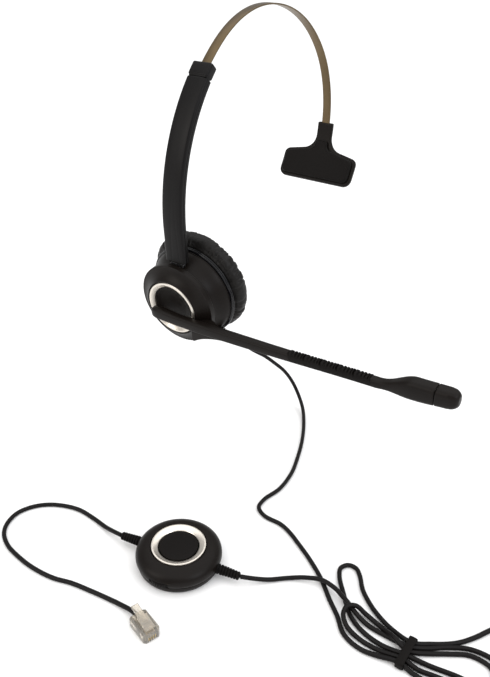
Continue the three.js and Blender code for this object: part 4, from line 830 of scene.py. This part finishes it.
def boom_ring(y, grow=0.0, ridge=0.0, corner=0.27, bulge=0.0):
    """Cross-section of the boom, with its top raised by a ridge and its middle pushed out as a nose."""
    (x, z), (depth, height) = boom_centre(y), boom_size(y)
    section = rectangle(depth + 2 * grow, height + 2 * grow, min(depth, height) * corner)
    raised = [(u, v + ridge * smooth(v, height * 0.3, height * 0.5)) for u, v in rounded(section, 4)]
    if not bulge:
        return [(x + u, y, z + v) for u, v in raised]
    edge = math.sqrt(NOSE_RADIUS**2 - (depth / 2) ** 2)
    return [(x + u, y + bulge * (math.sqrt(NOSE_RADIUS**2 - u * u) - edge), z + v) for u, v in raised]


cap_profile = [(CAP_RADIUS - 1.6, CAP_SKIRT), (CAP_RADIUS - 0.25, CAP_SKIRT), (CAP_RADIUS, CAP_SKIRT - 0.3)]
for t in span(0, 1, 18):
    angle = t * 62 * DEG
    cap_profile.append((
        mix(CAP_RADIUS, RING_OUTER + 0.9, math.sin(angle) / math.sin(62 * DEG)),
        -CAP_DOME * ((1 - math.cos(angle)) / (1 - math.cos(62 * DEG))) ** 0.75,
    ))
cap_profile += [
    (RING_OUTER + 0.45, -CAP_DOME + 0.05), (RING_OUTER + 0.3, -CAP_DOME + 0.3), (RING_OUTER + 0.3, 0.6),
    (2.6, 0.6), (2.6, 2), (CAP_RADIUS - 1.6, 2),
]
boom_cap = solid("boom_cap", turned(cap_profile, 160), EAR)

root_rings = []
for y, grow in ((11.3, -2.1), (11.2, -1.6), (10.9, -0.9), (10.3, -0.4), (9.4, -0.05), (8.2, 0.15), (7, 0.25)):
    root_rings.append([(x, y, z + 0.6) for x, _, z in boom_ring(-15, grow)])
for t in span(0, 1, 8):
    y = mix(6, -6, t)
    lift = 0.6 * (1 - smooth(t, 0, 1))
    root_rings.append([(x, y, z + lift) for x, _, z in boom_ring(min(y, -15 * t), 0.25 * (1 - t))])
ribs_start = BOOM_FLEX_START + PIVOT_SETBACK
for y in [*span(-8, ribs_start + NOSE_REACH, 40), *span(ribs_start + 2, ribs_start, 8)]:
    root_rings.append(boom_ring(y, bulge=max(1 - (y - ribs_start) / NOSE_REACH, 0)))
root_bar = solid("bar", skin(root_rings), EAR)

WEDGE = [
    (-16.0, -1.0, -13.2), (-16.6, -0.5, -13), (-19, 0.5, -11.5), (-21.5, 1.2, -10.2), (-24, 0.4, -9.2),
    (-30, -2.6, -7.4), (-36, -4.9, -6.4), (-38, -5.4, -6.2),
]
wedge_rings = []
for y, reach, low in through([Vector(p) for p in WEDGE], 0.8):
    (x, z), (depth, height) = boom_centre(y), boom_size(y)
    outer, top = x - depth / 2 + 0.5, z + height * 0.1
    width = max(reach - outer, 0.6)
    section = rounded(rectangle(width, top - low, 1.1, outer + width / 2, (top + low) / 2), 4)
    wedge_rings.append([(u, y, v) for u, v in section])
wedge = solid("wedge", skin(wedge_rings), EAR)
combine(boom_cap, [root_bar, wedge], "UNION")
inner_profile = [(0, 2), (21.4, 2), (21.4, 3.5), (60, 3.5), (60, 15), (0, 15)]
combine(boom_cap, [solid("room", turned(inner_profile, 96), EAR)])
settle(boom_cap, "boom_base", sharp=38)

ring_profile = [
    (RING_OUTER - 0.7, -RING_PROUD), (RING_OUTER - 0.25, -RING_PROUD + 0.08), (RING_OUTER, -RING_PROUD + 0.45),
    (RING_OUTER, 0.3), (RING_INNER, 0.3), (RING_INNER, -3.0), (RING_INNER + 0.12, -3.35),
    (RING_INNER + 0.5, -3.6), (RING_OUTER - 1.1, -RING_PROUD - 0.02),
]
settle(solid("plated_ring", turned(ring_profile, 192), EAR), "chrome_ring", sharp=30)
dish_radius = RING_INNER - 0.3
dish_profile = [
    (0, -0.6), (3, -0.62), (dish_radius * 0.55, -0.8), (dish_radius * 0.75, -1.25), (dish_radius * 0.88, -1.95),
    (dish_radius * 0.96, -2.6), (dish_radius, -2.9), (dish_radius, 0.3), (0, 0.3),
]
settle(solid("hub_dish", turned(dish_profile, 128), EAR), "recess_dish")

LINKS, RIBS, SEAM = 5, 5, 0.05
RIB_STEPS, RIB_HEIGHT, RIB_BASE = 8, 0.8, -0.25
link_length = (BOOM_FLEX_START - BOOM_FLEX_END) / LINKS
for i in range(LINKS):
    start = ribs_start - i * link_length - SEAM
    end = ribs_start - (i + 1) * link_length
    places = [(start, -0.1, 0), (start - 0.05, 0, 0)]
    steps = RIBS * RIB_STEPS
    for k in range(steps):
        phase = (k + 0.5) / RIB_STEPS % 1
        tooth = smooth(phase, 0.1, 0.28) * (1 - smooth(phase, 0.72, 0.9))
        places.append((mix(start - 0.12, end + 0.12, k / (steps - 1)), 0, RIB_HEIGHT * tooth + RIB_BASE))
    places += [(end + 0.05, 0, 0), (end, -0.1, 0)]
    rings = [boom_ring(y, grow, ridge, bulge=end_bulge(y, start, end)) for y, grow, ridge in places]
    settle(solid(f"flex_rib_{i + 1}", skin(rings), EAR), f"flex_link_{i + 1}", sharp=50)

mic_start = ribs_start - LINKS * link_length - SEAM
neck = enumerate(span(mic_start - 0.1, -119.9, 8))
mic_rings = [boom_ring(mic_start, bulge=1), *[boom_ring(y, bulge=1 - k / 8) for k, y in neck]]
mic_rings += [boom_ring(y, 0, 0, 0.3) for y in span(-120.2, MIC_SEAM + 0.25, 50)]
mic_rings += [boom_ring(MIC_SEAM + 0.08, -0.05, 0, 0.3), boom_ring(MIC_SEAM, -0.15, 0, 0.3)]
mic_body = solid("mic_body", skin(mic_rings), EAR)
mic_x, mic_z = boom_centre(MIC_SEAM)
pocket = solid("pocket", rod(2.5, (mic_x, MIC_SEAM - 1, mic_z), (mic_x, MIC_SEAM + 5, mic_z)), EAR)
port = solid("port", rod(0.7, (mic_x, MIC_SEAM + 2.5, mic_z), (mic_x + 6, MIC_SEAM + 2.5, mic_z)), EAR)
combine(mic_body, [pocket, port])
settle(mic_body, "mic_housing", sharp=45)
tip_rings = [boom_ring(MIC_SEAM - 0.3, -0.4, 0, 0.3), boom_ring(MIC_SEAM - 0.4, -0.12, 0, 0.3)]
tip_rings += [boom_ring(y, 0, 0, 0.3) for y in span(MIC_SEAM - 0.55, -153.2, 10)]
for t in span(0, 1, 10):
    turn = t * 90 * DEG
    tip_rings.append(boom_ring(mix(-153.4, BOOM_TIP, math.sin(turn)), -2.3 * (1 - math.cos(turn)), 0, 0.34))
settle(solid("mic_tip", skin(tip_rings), EAR), "mic_cap", sharp=45)

# ---------------------------------------------------------------- inline control
CONTROL_RADIUS, CONTROL_SEAM, CONTROL_WAIST, CONTROL_TOP = 18.9, 4, 5.6, 10.6
WHEEL_X, WHEEL_LEVEL = -13.4, 5.1


def wheel_room():
    low, high = (WHEEL_X, 0, WHEEL_LEVEL - 1.25), (WHEEL_X, 0, WHEEL_LEVEL + 1.25)
    return solid("room", rod(6.6, low, high, 64), CONTROL)


def relief_room_at(side):
    return solid("room", rod(2.5, (0, side * 13, RELIEF_LEVEL), (0, side * 24, RELIEF_LEVEL)), CONTROL)


base_profile = [
    (0, 0), (16.2, 0), (16.7, 0.12), (17.5, 0.75), (18.0, 1.6), (18.2, 2.6), (18.25, 3.5), (18.1, 3.7),
    (16.8, 3.7),
    (16.4, 1.9), (0, 1.5),
]
base = solid("control_underside", turned(base_profile, 160, "z"), CONTROL)
screw_rooms = [solid("room", rod(2.1, (9.5 * s, 6 * s, -1), (9.5 * s, 6 * s, 0.8)), CONTROL) for s in (-1, 1)]
combine(base, [wheel_room(), relief_room_at(-1), relief_room_at(1), *screw_rooms])
settle(base, "control_base")

dome_profile = [(17.4, CONTROL_SEAM), (18.2, CONTROL_SEAM), (18.55, 4.25), (18.75, 4.7), (18.9, 5.2)]
for t in span(0, 1, 26):
    angle = t * 90 * DEG
    level_here = mix(CONTROL_WAIST, CONTROL_TOP, math.sin(angle) ** 0.85)
    dome_profile.append((mix(12.45, CONTROL_RADIUS, math.cos(angle)), level_here))
dome_profile += [(12.3, 10.4), (12.3, 8.6), (9.2, 8.6), (9.2, 7.6), (13, 7.6), (16.8, 6.4)]
dome = solid("control_dome", turned(dome_profile, 160, "z"), CONTROL)
combine(dome, [wheel_room(), relief_room_at(-1), relief_room_at(1)])
settle(dome, "control_top", sharp=40)

control_ring_profile = [
    (8.9, 8.9), (12.0, 8.9), (12.0, 10.75), (11.85, 11.02), (11.5, 11.1), (11.1, 11.05), (9.5, 10.35),
    (9.1, 10.1),
    (8.9, 9.85),
]
settle(solid("control_plated_ring", turned(control_ring_profile, 160, "z"), CONTROL), "control_ring", sharp=30)
button_profile = [(0, 6.6), (2.2, 6.6), (2.2, 8.0), (8.5, 8.0), (8.5, 9.95), (8.3, 10.25), (7.9, 10.42)]
button_profile += [(r, 11.0 - 0.58 * (r / 7.9) ** 2) for r in span(7.2, 0, 8)]
settle(solid("mute_key", turned(button_profile, 128, "z"), CONTROL), "mute_button")

wheel_profile = [(0, -0.95), (5.5, -0.95), (6.0, -0.7), (6.0, 0.7), (5.5, 0.95), (0, 0.95)]


def knurl(radius, along, angle):
    return radius - (0.25 * (0.5 - 0.5 * math.cos(angle * 30)) if radius > 5.8 else 0), along


wheel_place = CONTROL @ Matrix.Translation((WHEEL_X, 0, WHEEL_LEVEL))
settle(solid("volume_dial", turned(wheel_profile, 240, "z", knurl), wheel_place), "volume_wheel", sharp=50)

for side, node in ((-1, "relief_to_ear"), (1, "relief_to_plug")):
    start, end = control_relief(side)
    length = (end - start).length
    profile = [(0, 0), (2.2, 0), (2.2, 4.7)]
    for k in range(7):
        at, wide = 5.0 + k * 1.28, mix(2.2, 1.75, k / 7)
        profile += [
            (wide - 0.5, at), (wide - 0.5, at + 0.42), (wide - 0.08, at + 0.5), (wide, at + 0.62),
            (wide, at + 1.2),
        ]
    profile += [(1.55, length - 0.12), (1.4, length), (0, length)]
    settle(solid(f"{node}_sleeve", laid(profile, start, end), CONTROL), node, sharp=50)

# ---------------------------------------------------------------- plug and tie
NOSE, REAR, SIDE = 5.9, -5.9, 3.825
plug_corners = [
    (NOSE, SIDE - 1, 0.3), (NOSE - 1, SIDE, 0.3), (REAR + 0.6, SIDE, 0.3), (REAR, SIDE - 0.8, 0.3),
    (REAR, -SIDE + 0.8, 0.3), (REAR + 0.6, -SIDE, 0.3), (NOSE - 1, -SIDE, 0.3), (NOSE, -SIDE + 1, 0.3),
]
plug_levels = [(0.3, 0), (0.08, 0.08), (0, 0.3), (0, 4.3), (0.08, 4.52), (0.3, 4.6)]
plug_body = solid("plug_shell", slab(plug_corners, plug_levels, 3), PLUG)
contact_places = [-1.53, -0.51, 0.51, 1.53]
plug_rooms = [solid("room", box(REAR - 1, REAR + 5, -2.3, 2.3, 0.9, 3.8), PLUG)]
for y in contact_places:
    plug_rooms.append(solid("room", box(NOSE - 4.2, NOSE + 1, y - 0.3, y + 0.3, -1, 2.8), PLUG))
for y in (-2.65, 2.65):
    plug_rooms.append(solid("room", box(REAR + 1.2, NOSE - 2.2, y - 0.25, y + 0.25, 4.2, 6), PLUG))
combine(plug_body, plug_rooms)
settle(plug_body, "plug_body", sharp=30)
latch = frame["nodes"]["plug_latch"].modifiers.new("edge", "BEVEL")
latch.width = 0.15 * MM
latch.segments = 3

# Tie: a flat wire pressed round the strands.
tie_low, tie_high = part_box("hank_tie")
tie_centre = (tie_low + tie_high) / 2 / MM
tie_width, tie_height = (tie_high.x - tie_low.x) / MM, (tie_high.z - tie_low.z) / MM
tie_rings = []
outer = rectangle(tie_width, tie_height, 1.3, tie_centre.x, tie_centre.z)
for angle in span(0, 2 * math.pi, 20)[:-1]:
    push, along = 0.28 * math.cos(angle), 1.7 * math.sin(angle)
    along = max(min(along, 1.62), -1.62)
    tie_rings.append([(u, tie_centre.y + along, v) for u, v in rounded(inset(outer, 0.3 - push), 6)])
settle(solid("hank_wire_tie", skin(tie_rings, joined=True)), "hank_tie")

# Small hidden pieces keep their CAD shape with their edges eased.
for node in ("arm_tongue", "arm_screw", "hinge_pin", "hub_clip", "strip_stop", "circuit_board", "mic_capsule"):
    edge = frame["nodes"][node].modifiers.new("edge", "BEVEL")
    edge.width = 0.12 * MM
    edge.segments = 2
    edge.limit_method = "ANGLE"


# ---------------------------------------------------------------- stage
def pale(name, color):
    made = bpy.data.materials.new(name)
    made.use_nodes = True
    shader = made.node_tree.nodes["Principled BSDF"]
    shader.inputs["Base Color"].default_value = (*color, 1)
    shader.inputs["Roughness"].default_value = 0.9
    shader.inputs["Specular IOR Level"].default_value = 0.1
    return made


floor_mesh = bpy.data.meshes.new("floor")
REACH = 40
floor_mesh.from_pydata(
    [(x * REACH, y * REACH, TABLE * MM) for x, y in ((-1, -1), (1, -1), (1, 1), (-1, 1))],
    [],
    [(0, 1, 2, 3)],
)
floor = bpy.data.objects.new("floor", floor_mesh)
floor_mesh.materials.append(pale("floor", (0.93, 0.93, 0.93)))
bpy.context.scene.collection.objects.link(floor)

TARGET = Vector((-0.06, -0.06, -0.13))


def lamp(name, place, size, power, color=(1, 1, 1)):
    data = bpy.data.lights.new(name, "AREA")
    data.size = size
    data.energy = power
    data.color = color
    made = bpy.data.objects.new(name, data)
    made.location = place
    made.rotation_mode = "QUATERNION"
    made.rotation_quaternion = (TARGET - Vector(place)).to_track_quat("-Z", "Y")
    bpy.context.scene.collection.objects.link(made)


sun = bpy.data.lights.new("overhead", "SUN")
sun.energy = 2.2
sun.angle = math.radians(100)
overhead = bpy.data.objects.new("overhead", sun)
overhead.rotation_euler = (math.radians(8), math.radians(6), 0)
bpy.context.scene.collection.objects.link(overhead)
lamp("camera_left", (-1.3, 0.5, 0.6), 0.8, 7, (1, 0.95, 0.9))
lamp("camera_right", (-0.3, -1.5, 0.7), 0.7, 6, (0.9, 0.93, 1))

world = bpy.data.worlds.new("studio")
world.use_nodes = True
world.node_tree.nodes["Background"].inputs["Color"].default_value = (1, 1, 1, 1)
world.node_tree.nodes["Background"].inputs["Strength"].default_value = 0.5
bpy.context.scene.world = world
bpy.context.scene.view_settings.view_transform = "Standard"
